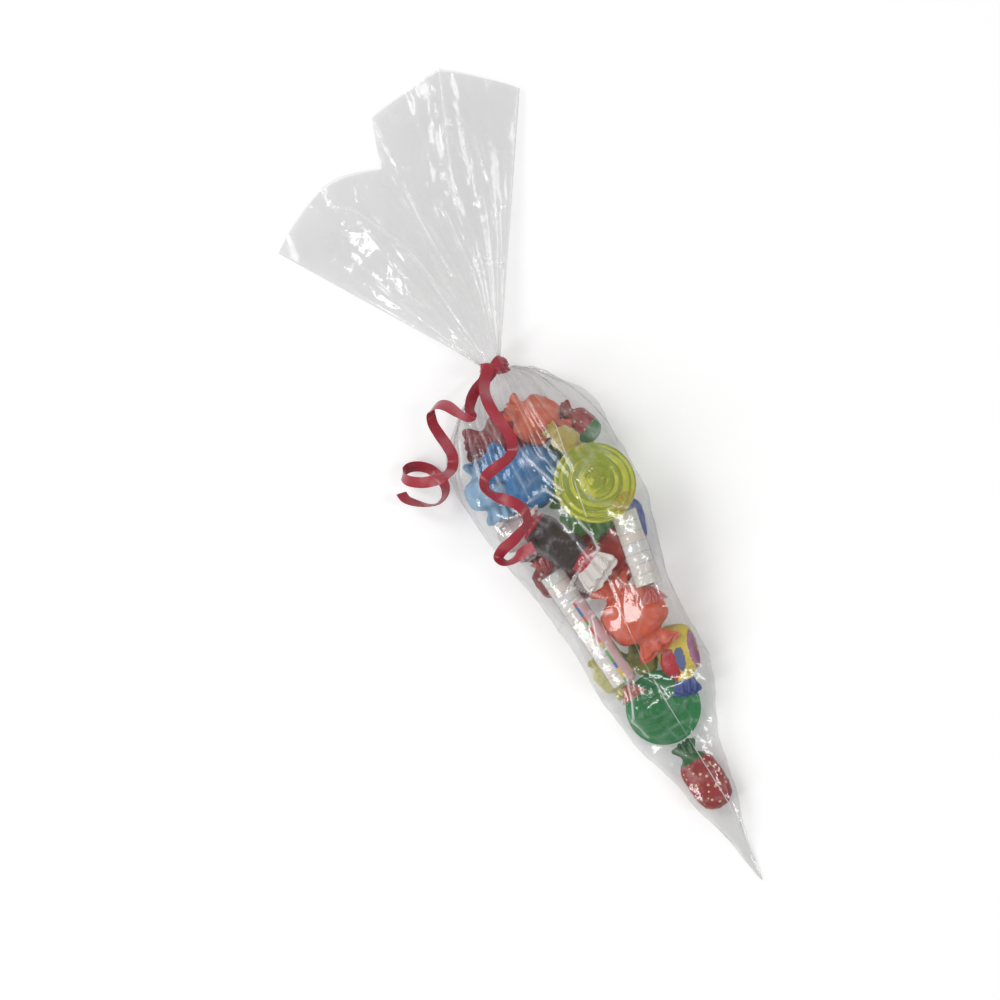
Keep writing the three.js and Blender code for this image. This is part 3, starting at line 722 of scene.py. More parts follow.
@dataclass
class TabletRoll:
    """A roll of pressed tablets in a clear twisted sleeve with a printed strip."""

    tablets: str
    sleeve: str
    count: int
    print_on_top: bool
    diameter: float = 10.7
    pitch: float = 4.6
    fan: float = 8.0
    gap_share: float = 0.985
    rounding: float = 0.35
    tints: tuple[Colour, ...] = (
        (0.9, 0.86, 0.82), (0.92, 0.83, 0.8), (0.9, 0.88, 0.78), (0.86, 0.88, 0.82), (0.92, 0.82, 0.76),
        (0.88, 0.86, 0.88),
    )

    def build_tablets(self) -> bpy.types.Object:
        """Stacks the tablets along the CAD column's axis."""
        axes = LocalAxes.of_node(self.tablets)
        bm = bmesh.new()
        for k in range(self.count):
            along = (k - (self.count - 1) / 2) * self.pitch
            made = bmesh.ops.create_cone(
                bm, cap_ends=True, cap_tris=False, segments=40, radius1=self.diameter / 2,
                radius2=self.diameter / 2, depth=self.pitch * self.gap_share,
            )["verts"]
            rims = [e for e in bm.edges if e.verts[0] in made and e.verts[1] in made and not self.upright(e)]
            bevelled = bmesh.ops.bevel(
                bm, geom=rims, offset=self.rounding, segments=3, profile=0.5, affect="EDGES", material=-1
            )
            whole = {v for v in made if v.is_valid} | set(bevelled["verts"])
            turn = Matrix.Rotation(math.pi / 2, 4, "Y")
            shift = Matrix.Translation((along, 0.06 * math.sin(k * 2.3), 0.06 * math.cos(k * 1.7)))
            bmesh.ops.transform(bm, matrix=shift @ turn, verts=list(whole))
        local = np.array([v.co for v in bm.verts], float)
        for vert, place in zip(bm.verts, axes.to_world(local)):
            vert.co = place
        bmesh.ops.recalc_face_normals(bm, faces=bm.faces)
        piece = link(self.tablets + "_pressed", bm)
        tints = piece.data.attributes.new("tint", "FLOAT_COLOR", "POINT")
        for k, along in enumerate(local[:, 0]):
            number = int(np.clip(round(along / self.pitch + (self.count - 1) / 2), 0, self.count - 1))
            tints.data[k].color = rgba(self.tints[(number * 5 + 2) % len(self.tints)])
        dress(piece, SugarFinish(self.tablets + "_sugar").material(), "tablet", self.tablets)
        return piece

    @staticmethod
    def upright(edge: bmesh.types.BMEdge) -> bool:
        """Tells whether an edge runs along the tablet's axis."""
        return abs(edge.verts[0].co.z - edge.verts[1].co.z) > 1e-6

    def build_sleeve(self) -> bpy.types.Object:
        """Rolls one sheet of film round the tablets and twists and fans its ends."""
        axes = LocalAxes.of_node(self.tablets)
        half = self.count * self.pitch / 2
        end = half + self.fan
        stops = [-end, -half - 3.8, -half - 2.2, -half - 0.2, half + 0.2, half + 2.2, half + 3.8, end]
        reaches = [5.4, 3.0, 1.5, 5.75, 5.75, 1.5, 3.0, 5.4]
        rises = [2.2, 1.8, 1.5, 5.75, 5.75, 1.5, 1.8, 2.2]
        bm = bmesh.new()
        bmesh.ops.create_grid(bm, x_segments=72, y_segments=130, size=1.0)
        local = []
        for vert in bm.verts:
            angle = (vert.co.x + 1.0) * math.pi
            u = vert.co.y * end
            beyond = max(abs(u) - half, 0.0)
            pleat = min(beyond / 3.0, 1.0) * math.sin(10 * angle + 0.5 * u)
            crinkle = 0.22 * ridged(Vector((u, math.cos(angle) * 6, math.sin(angle) * 6)), 4.5, 3.0)
            across = float(np.interp(u, stops, reaches)) * (1 + 0.1 * pleat) + crinkle
            rise = float(np.interp(u, stops, rises)) * (1 + 0.3 * pleat) + crinkle
            local.append((u, across * math.cos(angle), rise * math.sin(angle)))
        for vert, place in zip(bm.verts, axes.to_world(np.array(local))):
            vert.co = place
        piece = link(self.sleeve + "_film", bm)
        store_vectors(piece.data, "local", np.array(local))
        dress(piece, self.sleeve_material(half), "clear_sleeve", self.sleeve)
        return piece

    def sleeve_material(self, half: float) -> bpy.types.Material:
        """Builds clear film with an opaque printed strip and coloured blocks along its edges.

        Args:
            half: Half the length of the tablet column, in millimetres.

        Returns:
            The sleeve's material.
        """
        graph = Graph(self.sleeve + "_print")
        local = graph.stored("local")
        split = graph.add("SeparateXYZ", {"Vector": local})
        along, across, up = split.outputs[0], split.outputs[1], split.outputs[2]
        angle = graph.math("ARCTAN2", up, across)
        block = graph.math("FLOOR", graph.math("DIVIDE", along, 2.6))
        drawn = graph.add("TexWhiteNoise", {"W": block}, noise_dimensions="1D").outputs["Value"]
        ramp = graph.add("ValToRGB", {0: drawn})
        ramp.color_ramp.interpolation = "CONSTANT"
        for k, (position, colour) in enumerate(BLOCK_COLOURS):
            stop = ramp.color_ramp.elements[k] if k < 2 else ramp.color_ramp.elements.new(position)
            stop.position = position
            stop.color = rgba(colour)
        middle = 0.9 if self.print_on_top else -1.6
        width = 0.62 if self.print_on_top else 0.5
        off = graph.math("ABSOLUTE", graph.math("SUBTRACT", angle, middle))
        in_strip = graph.math("LESS_THAN", off, width)
        in_edge = graph.math("MULTIPLY", in_strip, graph.math("GREATER_THAN", off, width - 0.2))
        low = graph.math("GREATER_THAN", along, -half - 1.0)
        high = graph.math("LESS_THAN", along, half * (0.45 if self.print_on_top else 1.0))
        covered = graph.math("MULTIPLY", graph.math("MULTIPLY", in_strip, low), high)
        in_fan = graph.math("GREATER_THAN", graph.math("ABSOLUTE", along), half + 1.6)
        values = {"Vector": local, "Scale": 0.4, "Distortion": 3.0}
        streaks = graph.add("TexWave", values, bands_direction="X")
        streaked = graph.math("GREATER_THAN", streaks.outputs["Fac"], 0.45)
        printed_fan = graph.math("MULTIPLY", in_fan, streaked)
        covered = graph.math("MAXIMUM", covered, printed_fan)
        waves = graph.add("TexWave", {"Vector": local, "Scale": 0.55, "Distortion": 5.0, "Detail": 1.0})
        marks = graph.math("GREATER_THAN", waves.outputs["Fac"], 0.62)
        paper = graph.mix(marks, rgba((0.84, 0.8, 0.78)), rgba((0.62, 0.06, 0.12)))
        paper = graph.mix(in_edge, paper, ramp.outputs[0])
        paper = graph.mix(printed_fan, paper, rgba((0.6, 0.07, 0.06)))
        printed = graph.principled({"Base Color": paper, "Roughness": 0.3, "Coat Weight": 0.4})
        normal = graph.bump(graph.noise(graph.place(), 260.0, 4.0), 0.5, 0.0008)
        clear = graph.clear(rgba((0.96, 0.96, 0.955)))
        film = graph.glazed(clear, normal, roughness=0.12, face_gloss=0.12, edge_gloss=0.3, spread=0.2)
        return graph.surface(graph.blend(covered, film, printed))


@dataclass
class RibbonStrip:
    """A flat strip of curling ribbon along a curve, bending only about its width."""

    name: str
    points: list[Point]
    steps: int = 260
    across: int = 4
    face_up: float = 0.13
    bend_pull: float = 0.12
    carry: float = 0.9
    bend_reach: int = 7
    cup: float = 0.16
    path: list[Vector] = field(default_factory=list)

    def sample(self) -> tuple[np.ndarray, np.ndarray, np.ndarray]:
        """Returns evenly spaced places on a smooth curve through the points, tangents and widths."""
        given = np.array(self.points, float)
        knots = np.concatenate(([0.0], np.cumsum(np.linalg.norm(np.diff(given, axis=0), axis=1) ** 0.5)))
        dense = []
        for a in range(len(given) - 1):
            p = [given[max(a - 1, 0)], given[a], given[a + 1], given[min(a + 2, len(given) - 1)]]
            t = [knots[max(a - 1, 0)], knots[a], knots[a + 1], knots[min(a + 2, len(given) - 1)]]
            t[0] = t[0] if a > 0 else t[1] - 1.0
            t[3] = t[3] if a < len(given) - 2 else t[2] + 1.0
            for u in np.linspace(t[1], t[2], 16, endpoint=False):
                a1 = p[0] * (t[1] - u) / (t[1] - t[0]) + p[1] * (u - t[0]) / (t[1] - t[0])
                a2 = p[1] * (t[2] - u) / (t[2] - t[1]) + p[2] * (u - t[1]) / (t[2] - t[1])
                a3 = p[2] * (t[3] - u) / (t[3] - t[2]) + p[3] * (u - t[2]) / (t[3] - t[2])
                b1 = a1 * (t[2] - u) / (t[2] - t[0]) + a2 * (u - t[0]) / (t[2] - t[0])
                b2 = a2 * (t[3] - u) / (t[3] - t[1]) + a3 * (u - t[1]) / (t[3] - t[1])
                dense.append(b1 * (t[2] - u) / (t[2] - t[1]) + b2 * (u - t[1]) / (t[2] - t[1]))
        dense.append(given[-1])
        dense = np.array(dense)
        run = np.concatenate(([0.0], np.cumsum(np.linalg.norm(np.diff(dense, axis=0), axis=1))))
        even = np.linspace(0.0, run[-1], self.steps + 1)
        places = np.stack([np.interp(even, run, dense[:, k]) for k in range(3)], axis=1)
        tangents = np.gradient(places, axis=0)
        tangents /= np.linalg.norm(tangents, axis=1, keepdims=True)
        widths = []
        last = np.array((0.7, -0.7, 0.0))
        for k, tangent in enumerate(tangents):
            bend = tangents[min(k + self.bend_reach, self.steps)]
            bend = bend - tangents[max(k - self.bend_reach, 0)]
            turned = np.cross(tangent, bend)
            turned = turned if turned @ last >= 0 else -turned
            level = np.array((-tangent[1], tangent[0], 0.0))
            level = level if level @ last >= 0 else -level
            width = turned * self.bend_pull + level * self.face_up + last * self.carry
            width -= tangent * (width @ tangent)
            last = width / np.linalg.norm(width)
            widths.append(last)
        return places, tangents, np.array(widths)

    def build(self, slot: str, material: bpy.types.Material, node: str | None = None) -> bpy.types.Object:
        """Lays a grid along the curve, gives it its thickness and dresses it.

        Args:
            slot: The record's material slot.
            material: The ribbon's material.
            node: The CAD node that it stands for.

        Returns:
            The strip.
        """
        places, tangents, widths = self.sample()
        bm = bmesh.new()
        bmesh.ops.create_grid(bm, x_segments=self.across, y_segments=self.steps, size=1.0)
        bm.verts.ensure_lookup_table()
        local = []
        for vert in bm.verts:
            side = vert.co.x
            k = round((vert.co.y + 1.0) / 2.0 * self.steps)
            normal = np.cross(tangents[k], widths[k])
            cup = self.cup * (1.0 - side * side)
            place = places[k] + widths[k] * side * RIBBON_WIDTH / 2 + normal * cup
            vert.co = Vector(place) * MM
            local.append((side * RIBBON_WIDTH / 2, float(k), 0.0))
        piece = link(self.name, bm)
        store_vectors(piece.data, "local", np.array(local))
        wall = piece.modifiers.new("wall", "SOLIDIFY")
        wall.thickness = RIBBON_THICKNESS * MM
        wall.offset = 0.0
        baked(piece)
        piece.data.set_sharp_from_angle(angle=SHARP_FROM)
        dress(piece, material, slot, *([node] if node else []))
        self.path = [Vector(p) * MM for p in places[::6]] + [Vector(places[-1]) * MM]
        return piece


@dataclass
class Ribbon:
    """The ribbon: its turns and knot at the neck and its two curled tails."""

    colour: Colour = (0.42, 0.014, 0.036)
    turns: int = 3

    def build(self) -> None:
        """Builds the tails as flat strips along curves and the tie as turns with a knot."""
        material = RibbonFinish("red_curling_ribbon", self.colour).material()
        for name, node, points in (
            ("ribbon_tail_left_strip", "ribbon_tail_left", LEFT_TAIL),
            ("ribbon_tail_right_strip", "ribbon_tail_right", RIGHT_TAIL),
        ):
            strip = RibbonStrip(name, points)
            piece = strip.build("red_ribbon", material, node)
        self.tie(material)

    def tie(self, material: bpy.types.Material) -> None:
        """Winds the turns round the neck and lays a knot over them.

        Args:
            material: The ribbon's material.
        """
        bm = bmesh.new()
        for turn in range(self.turns):
            for vert in bmesh.ops.create_grid(bm, x_segments=10, y_segments=96, size=1.0)["verts"]:
                side, angle = vert.co.x, (vert.co.y + 1.0) * math.pi
                bunch = 0.16 * math.sin(side * 9.0 + turn * 2.0 + math.sin(angle * 3.0))
                reach = NECK_RADIUS + 1.0 + 0.36 * turn + bunch + 0.12 * math.sin(angle * 5.0 + turn)
                along = NECK_Y + RIBBON_WIDTH / 2 + side * (2.1 - 0.25 * turn)
                along += 0.3 * math.sin(angle + turn * 2.1)
                vert.co = Vector((reach * math.sin(angle), along, NECK_Z + reach * math.cos(angle))) * MM
        bmesh.ops.remove_doubles(bm, verts=bm.verts, dist=1e-6)
        piece = link("ribbon_tie_turns", bm)
        wall = piece.modifiers.new("wall", "SOLIDIFY")
        wall.thickness = RIBBON_THICKNESS * MM
        baked(piece)
        piece.data.set_sharp_from_angle(angle=SHARP_FROM)
        across = [(v.co.y / MM, 0.0, 0.0) for v in piece.data.vertices]
        store_vectors(piece.data, "local", np.array(across))
        dress(piece, material, "red_ribbon", "ribbon_tie")
        for k, points in enumerate(KNOT):
            RibbonStrip(f"ribbon_knot_{k + 1}", points, steps=60).build("red_ribbon", material)


@dataclass
class Film:
    """The clear film: a filled cone, a pleated neck and a fanned mouth."""

    around: int = 256
    body_rows: int = 215
    neck_rows: int = 5
    flare_rows: int = 84
    pleat_reach: float = 70.0
    fold_reach: float = 5.0
    folds: tuple[tuple[tuple[float, float], ...], ...] = (
        ((-7.2, 50.3), (-5.1, 38.7), (0.7, 22.2)),
        ((1.1, 7.6), (3.1, -0.6), (3.2, -6.9), (-1.9, -10.0), (-3.4, -2.0)),
        ((3.5, -7.1), (-4.5, -8.7), (-15.3, -17.4), (-12.6, -16.9), (-3.7, -27.3)),
        ((-20.5, -20.9), (-9.3, -24.3)),
        ((-11.4, -31.0), (-3.8, -33.9)),
        ((-11.8, -31.7), (-14.6, -41.7), (-15.5, -47.0), (-11.8, -45.6)),
        ((-11.0, -60.4), (-13.6, -71.0), (-16.4, -78.2)),
        ((-16.8, -79.0), (-13.8, -87.8)),
        ((-26.0, 60.2), (-29.2, 52.3), (-32.5, 46.8)),
        ((-12.6, 24.4), (-5.0, 25.2), (-1.3, 18.5)),
    )
    flare_folds: tuple[tuple[tuple[float, float], ...], ...] = (
        ((38.5, 204.4), (27.3, 176.7), (18.3, 152.1)),
        ((-29.4, 172.8), (-21.9, 167.9), (-16.8, 158.5), (-10.0, 145.8), (-6.6, 132.1), (-2.7, 116.6)),
        ((1.4, 165.7), (1.2, 150.5), (1.8, 136.3), (3.1, 124.1)),
        ((34.3, 172.5), (31.4, 159.7), (26.4, 148.4)),
        ((38.3, 172.8), (36.0, 161.1), (35.4, 152.8), (31.1, 138.2)),
        ((10.4, 118.8), (15.9, 126.5), (23.6, 120.1)),
        ((-16.0, 132.7), (-17.8, 125.4), (-14.3, 117.4)),
    )
    seam: tuple[tuple[float, float], ...] = (
        (11.6, 47.7), (6.6, 18.0), (1.9, -12.0), (-0.6, -34.0), (-1.8, -55.7), (-1.2, -77.0), (0.3, -97.5),
        (2.4, -127.4), (0.7, -156.3),
    )

    def skin(self) -> BVHTree:
        """Returns the CAD film as a tree that rays can hit, in millimetres."""
        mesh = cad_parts["film_bag"].data
        verts = [v.co / MM for v in mesh.vertices]
        return BVHTree.FromPolygons(verts, [tuple(p.vertices) for p in mesh.polygons])

    def cone_rows(self) -> np.ndarray:
        """Reads the filled cone's sections off the CAD film and smooths them.

        Returns:
            Places in millimetres, by row and direction, each with its share of painted highlight along the
            film's creases.
        """
        tree = self.skin()
        share = np.linspace(0.012, 1.0, self.body_rows)
        heights = TIP_Y + (NECK_Y - 0.4 - TIP_Y) * (share + 0.02 * np.sin(share * math.pi * 2))
        angles = 2 * math.pi * np.arange(self.around) / self.around
        reaches = np.zeros((self.body_rows, self.around))
        centres = np.zeros((self.body_rows, 2))
        for j, y in enumerate(heights):
            right = tree.ray_cast(Vector((200, y, 0.6)), Vector((-1, 0, 0)))[0]
            left = tree.ray_cast(Vector((-200, y, 0.6)), Vector((1, 0, 0)))[0]
            middle = 0.0 if right is None or left is None else (right.x + left.x) / 2
            top = tree.ray_cast(Vector((middle, y, 200)), Vector((0, 0, -1)))[0]
            centres[j] = (middle, (top.z if top else 1.0) / 2)
        for k in range(2):
            centres[:, k] = self.smoothed(centres[:, k], 4)
        for j, y in enumerate(heights):
            for i, angle in enumerate(angles):
                way = Vector((math.sin(angle), 0.0, math.cos(angle)))
                centre = Vector((centres[j][0], y, centres[j][1]))
                hit = tree.ray_cast(centre + way * 200, -way)[0]
                reaches[j, i] = (hit - centre).length if hit else 0.5
        for j in range(self.body_rows):
            wrapped = np.concatenate((reaches[j, -6:], reaches[j], reaches[j, :6]))
            reaches[j] = self.smoothed(wrapped, 2)[6:-6]
        for i in range(self.around):
            reaches[:, i] = self.smoothed(reaches[:, i], 2)
        places = np.zeros((self.body_rows, self.around, 4))
        for j, y in enumerate(heights):
            for i, angle in enumerate(angles):
                place = Vector((centres[j][0], y, centres[j][1]))
                way = Vector((math.sin(angle), 0.0, math.cos(angle)))
                rise, crease_highlight = self.rise(place + way * reaches[j, i], angle)
                point = place + way * (reaches[j, i] + rise)
                places[j, i] = (point.x, point.y, max(point.z, 0.02 * reaches[j, i] / 30), crease_highlight)
        return places

    @staticmethod
    def smoothed(values: np.ndarray, spread: int) -> np.ndarray:
        """Returns a run of values, each the mean of those around it."""
        padded = np.concatenate(([values[0]] * spread, values, [values[-1]] * spread))
        return np.convolve(padded, np.ones(2 * spread + 1) / (2 * spread + 1), "valid")

    def rise(self, place: Vector, angle: float) -> tuple[float, float]:
        """How far the film stands out at a place, for pleats, folds and crinkles, and the painted highlight
        on their crests.

        Args:
            place: A place on the smooth film, in millimetres.
            angle: Its direction from the bag's axis.

        Returns:
            The rise in millimetres, and the share of painted highlight along the film's creases, from 0 to 1.
        """
        to_neck = max(0.0, 1.0 - (NECK_Y - place.y) / self.pleat_reach)
        wander = 0.5 * noise.noise(Vector((place.y / 26.0, angle * 1.3, 4.0)))
        sharp = self.pleat(angle * 13.0 + wander * 3.0, 0.8)
        fine = self.pleat(angle * 23.0 + wander * 5.0 + 1.0, 0.8)
        rise = (to_neck ** 1.3) * (1.8 * sharp + fine) * min(1.0, (NECK_Y - place.y) / 6.0 + 0.25)
        patchy = 0.5 + 0.5 * noise.noise(Vector((place.x / 9.0, place.y / 14.0, 7.0)))
        # Painted highlight: the crests of the pleats near the neck, of the crinkles and of the named folds
        # get a share of milky white.
        crease_highlight = to_neck * patchy * (sharp ** 3 + 0.7 * fine ** 3)
        body = min(1.0, max(0.0, (place.y - TIP_Y) / 50.0))
        broad = ridged(place, 22.0, 1.7)
        small = ridged(Vector((place.x, place.y * 0.5, place.z)), 9.0, 5.1)
        rise += body * (0.5 * broad ** 3 + 0.3 * small ** 4)
        crease_highlight += 0.5 * body * patchy * (broad ** 14 + 0.7 * small ** 12)
        if place.z > 4.0 and math.cos(angle) > -0.2:
            lift, mark = self.folded(self.folds, place, (1.0, 1.15), (0.8, 0.45))
            rise += lift
            crease_highlight += mark
        return rise, min(crease_highlight, 1.0)

    @staticmethod
    def pleat(phase: float, sharpness: float) -> float:
        """Returns a pleat's height from 0 to 1: narrow crests with wide troughs between them."""
        return 1.0 - abs(math.sin(phase)) ** sharpness

    def folded(
        self, folds: tuple, place: Vector, ridge: tuple[float, float], mark: tuple[float, float]
    ) -> tuple[float, float]:
        """How far named folds raise the film at a place, and the painted highlight that they lay along their
        crests.

        Args:
            folds: The folds, each a line of points in plan.
            place: The place, in millimetres.
            ridge: The height of a fold and its half width.
            mark: How strong the painted highlight on its crest is, and that highlight's half width.

        Returns:
            The rise in millimetres and the painted highlight.
        """
        rise, crease_highlight = 0.0, 0.0
        for fold in folds:
            off = self.distance_to(fold, place.x, place.y)
            if off < self.fold_reach:
                rise += ridge[0] * math.exp(-((off / ridge[1]) ** 2))
                crease_highlight += mark[0] * math.exp(-((off / mark[1]) ** 2))
        return rise, crease_highlight

    @staticmethod
    def distance_to(line: tuple[tuple[float, float], ...], x: float, y: float) -> float:
        """Returns the distance in plan from a point to a line of points."""
        least = 1e9
        for (ax, ay), (bx, by) in zip(line, line[1:]):
            dx, dy = bx - ax, by - ay
            share = min(1.0, max(0.0, ((x - ax) * dx + (y - ay) * dy) / (dx * dx + dy * dy)))
            least = min(least, math.hypot(x - ax - share * dx, y - ay - share * dy))
        return least

    def neck_place(self, angle: float, share: float) -> Vector:
        """Returns a place on the gathered neck, share of the way up the tie."""
        pleat = 0.45 * self.pleat(angle * 13.0, 0.8) + 0.25 * math.sin(angle * 29.0)
        reach = NECK_RADIUS - 0.35 + pleat
        along = NECK_Y + share * RIBBON_WIDTH
        return Vector((reach * math.sin(angle), along, NECK_Z + reach * math.cos(angle)))

    @staticmethod
    def way_round(angle: float) -> float:
        """Returns the share of the way round the mouth: below 0.5 is the upper layer."""
        return (angle / (2 * math.pi) + 0.25) % 1.0

    def mouth_place(self, angle: float) -> Vector:
        """Returns a place on the mouth's rim, for a direction at the neck."""
        turn = self.way_round(angle)
        table = UPPER_MOUTH if turn < 0.5 else LOWER_MOUTH
        bearing, reach, height = row_at(table, turn * 2 if turn < 0.5 else turn * 2 - 1)
        bearing = math.radians(bearing)
        return Vector((reach * math.cos(bearing), NECK_Y + reach * math.sin(bearing), height))

    def flare_place(self, angle: float, share: float) -> tuple[Vector, float]:
        """Returns a place on the fanned film, share of the way to the rim, and its share of painted highlight
        along the creases there.
        """
        start = self.neck_place(angle, 1.0)
        point = start.lerp(self.mouth_place(angle), share)
        fade = (1.0 - share) ** 1.4
        wander = 2.2 * noise.noise(Vector((share * 2.2, angle * 1.2, 9.0)))
        sharp = self.pleat(angle * 11.0 + wander, 0.7)
        fine = self.pleat(angle * 21.0 + wander * 1.7 + 0.6, 0.7)
        wave = share * fade * (5.0 * (sharp - 0.5) + 2.5 * (fine - 0.5))
        wave += share * 2.2 * noise.noise(Vector((point.x / 26.0, point.y / 34.0, angle)))
        wave += share * 0.9 * (ridged(Vector((point.x, point.y * 0.5, angle * 8.0)), 15.0, 2.2) ** 3 - 0.3)
        point.z = max(point.z + wave, 0.1)
        patchy = 0.5 + 0.5 * noise.noise(Vector((point.x / 12.0, point.y / 20.0, angle * 2.0)))
        broad = ridged(Vector((point.x, point.y * 0.5, angle * 8.0)), 15.0, 2.2)
        # Painted highlight: the crests of the fan's pleats and crinkles get a share of milky white.
        crease_highlight = patchy * (fade * (sharp ** 3 + 0.8 * fine ** 3) + 0.5 * share * broad ** 14)
        if self.way_round(angle) < 0.5:
            lift, mark = self.folded(self.flare_folds, point, (1.2, 1.2), (0.6, 0.6))
            point.z += lift
            crease_highlight += mark
        return point, min(crease_highlight, 1.0)

    def build(self) -> bpy.types.Object:
        """Lays one sheet over all the rows, closed round and at the tip, without thickness."""
        angles = [2 * math.pi * i / self.around for i in range(self.around)]
        # Each row's places come with their share of painted highlight: 0.3 at the tip, 0.5 over the gathered
        # neck.
        rows = [[(Vector((0.0, TIP_Y - 0.3, 0.3)), 0.3)] * self.around]
        rows += [[(Vector(p[:3]), p[3]) for p in row] for row in self.cone_rows()]
        for k in range(self.neck_rows):
            rows.append([(self.neck_place(a, k / (self.neck_rows - 1)), 0.5) for a in angles])
        shares = [(k + 1) / self.flare_rows for k in range(self.flare_rows)]
        rows += [[self.flare_place(a, s ** 1.15) for a in angles] for s in shares]
        bm = bmesh.new()
        # Each vertex keeps its share of painted highlight, which the film's material lays on as a milky
        # white.
        painted_highlight = bm.verts.layers.float.new("crease_highlight")
        bmesh.ops.create_grid(bm, x_segments=self.around, y_segments=len(rows) - 1, size=1.0)
        for vert in bm.verts:
            i = round((vert.co.x + 1.0) / 2.0 * self.around) % self.around
            j = round((vert.co.y + 1.0) / 2.0 * (len(rows) - 1))
            place, vert[painted_highlight] = rows[j][i]
            vert.co = place * MM
        bmesh.ops.remove_doubles(bm, verts=bm.verts, dist=2e-6)
        bmesh.ops.recalc_face_normals(bm, faces=bm.faces)
        piece = link("film_bag_clear", bm)
        dress(piece, FilmFinish("clear_bag_film").material(), "clear_film", "film_bag")
        self.build_seam()
        return piece

    def build_seam(self) -> bpy.types.Object:
        """Lays the fine welded seam down the front of the film."""
        step, lift, half_width, crown, thickness = 2.5, 0.12, 0.14, 0.08, 0.1
        tree = BVHTree.FromObject(bpy.data.objects["film_bag_clear"], bpy.context.evaluated_depsgraph_get())
        points = []
        line = np.array(self.seam)
        run = np.concatenate(([0.0], np.cumsum(np.linalg.norm(np.diff(line, axis=0), axis=1))))
        for at in np.arange(0.0, run[-1], step):
            x, y = np.interp(at, run, line[:, 0]), np.interp(at, run, line[:, 1])
            hit = tree.ray_cast(Vector((x, y, 200)) * MM, Vector((0, 0, -1)))[0]
            if hit:
                points.append(hit / MM + Vector((0, 0, lift)))
        bm = bmesh.new()
        bmesh.ops.create_grid(bm, x_segments=2, y_segments=len(points) - 1, size=1.0)
        for vert in bm.verts:
            k = round((vert.co.y + 1.0) / 2.0 * (len(points) - 1))
            side = vert.co.x
            vert.co = (points[k] + Vector((half_width * side, 0.0, crown * (1 - side * side)))) * MM
        piece = link("film_seam", bm)
        wall = piece.modifiers.new("wall", "SOLIDIFY")
        wall.thickness = thickness * MM
        baked(piece)
        graph = Graph("welded_seam")
        place = graph.place()
        broken = graph.math("GREATER_THAN", graph.noise(place, 90.0, 3.0), 0.46)
        shine = graph.principled({"Base Color": rgba((0.9, 0.9, 0.9)), "Roughness": 0.15})
        share = graph.math("MULTIPLY_ADD", broken, 0.3, 0.12)
        material = graph.surface(graph.blend(share, graph.clear(rgba((0.95, 0.95, 0.95))), shine))
        dress(piece, material, "clear_film")
        return piece


RED_PRINT = (0.5, 0.02, 0.04)
# A radius wider than any sweet: a zone with it is a band right round the wrapper.
WIDE = 200.0

WRAPS = {
    "orange": WrapFinish("orange_wrap", (0.78, 0.115, 0.045)),
    "orange_top": WrapFinish("orange_neck_wrap", (0.72, 0.14, 0.06)),
    "blue": WrapFinish("blue_wrap", (0.035, 0.2, 0.47)),
    "light_blue": WrapFinish("light_blue_wrap", (0.24, 0.46, 0.68)),
    "crimson": WrapFinish("crimson_wrap", (0.3, 0.018, 0.03)),
    "red": WrapFinish("red_wrap", (0.52, 0.045, 0.03)),
    "pale": WrapFinish(
        "pale_wrap", (0.62, 0.5, 0.5), (Zone((0.62, 0.58, 0.56), (0, 0, 0), (3.0, WIDE, WIDE)),)
    ),
    "pale_yellow": WrapFinish("pale_yellow_wrap", (0.62, 0.6, 0.22)),
    "yellow": WrapFinish("small_yellow_wrap", (0.66, 0.52, 0.12), sheer=0.2),
    "olive": WrapFinish("olive_wrap", (0.3, 0.33, 0.05)),
    "green": WrapFinish("green_wrap", (0.1, 0.36, 0.08)),
    "light_green": WrapFinish("light_green_wrap", (0.14, 0.42, 0.09), sheer=0.25),
    "dark_red": WrapFinish(
        "speckled_red_wrap", (0.26, 0.03, 0.035), speckle=Speckle.PRINT, speckle_colour=(0.55, 0.4, 0.38)
    ),
    "strawberry": WrapFinish(
        "strawberry_wrap", (0.38, 0.02, 0.022), (Zone((0.03, 0.14, 0.04), (12.6, 0, 0), (6.0, WIDE, WIDE)),),
        speckle=Speckle.SEEDS, speckle_colour=(0.72, 0.55, 0.3), roughness=0.28,
    ),
    "strawberry_small": WrapFinish(
        "small_strawberry_wrap", (0.36, 0.03, 0.03),
        (Zone((0.05, 0.2, 0.06), (-8.6, 0, 0), (4.0, WIDE, WIDE)),),
        speckle=Speckle.SEEDS, speckle_colour=(0.7, 0.5, 0.35),
    ),
    "chew": WrapFinish(
        "brown_chew_wrap", (0.032, 0.016, 0.013), (
            Zone((0.86, 0.8, 0.76), (-19.0, 0, 0), (11.5, WIDE, WIDE)),
            Zone(RED_PRINT, (-8.8, 3.0, 0), (2.6, 7.0, WIDE)),
            Zone(RED_PRINT, (18.5, 0, 0), (2.6, WIDE, WIDE)),
            Zone((0.84, 0.78, 0.74), (22.5, 0, 0), (3.0, WIDE, WIDE)),
        ), roughness=0.3,
    ),
    "gum": WrapFinish(
        "gum_wrap", (0.78, 0.6, 0.045), (
            Zone((0.5, 0.02, 0.035), (-1.0, -4.6, 6.0), (7.4, 3.4, WIDE)),
            Zone((0.12, 0.16, 0.32), (1.0, -0.2, 6.0), (5.0, 1.7, WIDE)),
            Zone((0.34, 0.1, 0.22), (3.5, 5.4, 4.0), (8.0, 1.7, WIDE)),
            Zone((0.045, 0.09, 0.32), (-14.5, 0, 0), (7.0, WIDE, WIDE)),
        ),
    ),
    "side_blue": WrapFinish(
        "side_blue_wrap", (0.03, 0.08, 0.34), (
            Zone((0.75, 0.6, 0.08), (2.0, -4.2, 0), (5.0, 1.3, WIDE)),
            Zone(RED_PRINT, (-6.0, -3.4, 0), (4.0, 1.3, WIDE)),
        ),
    ),
}


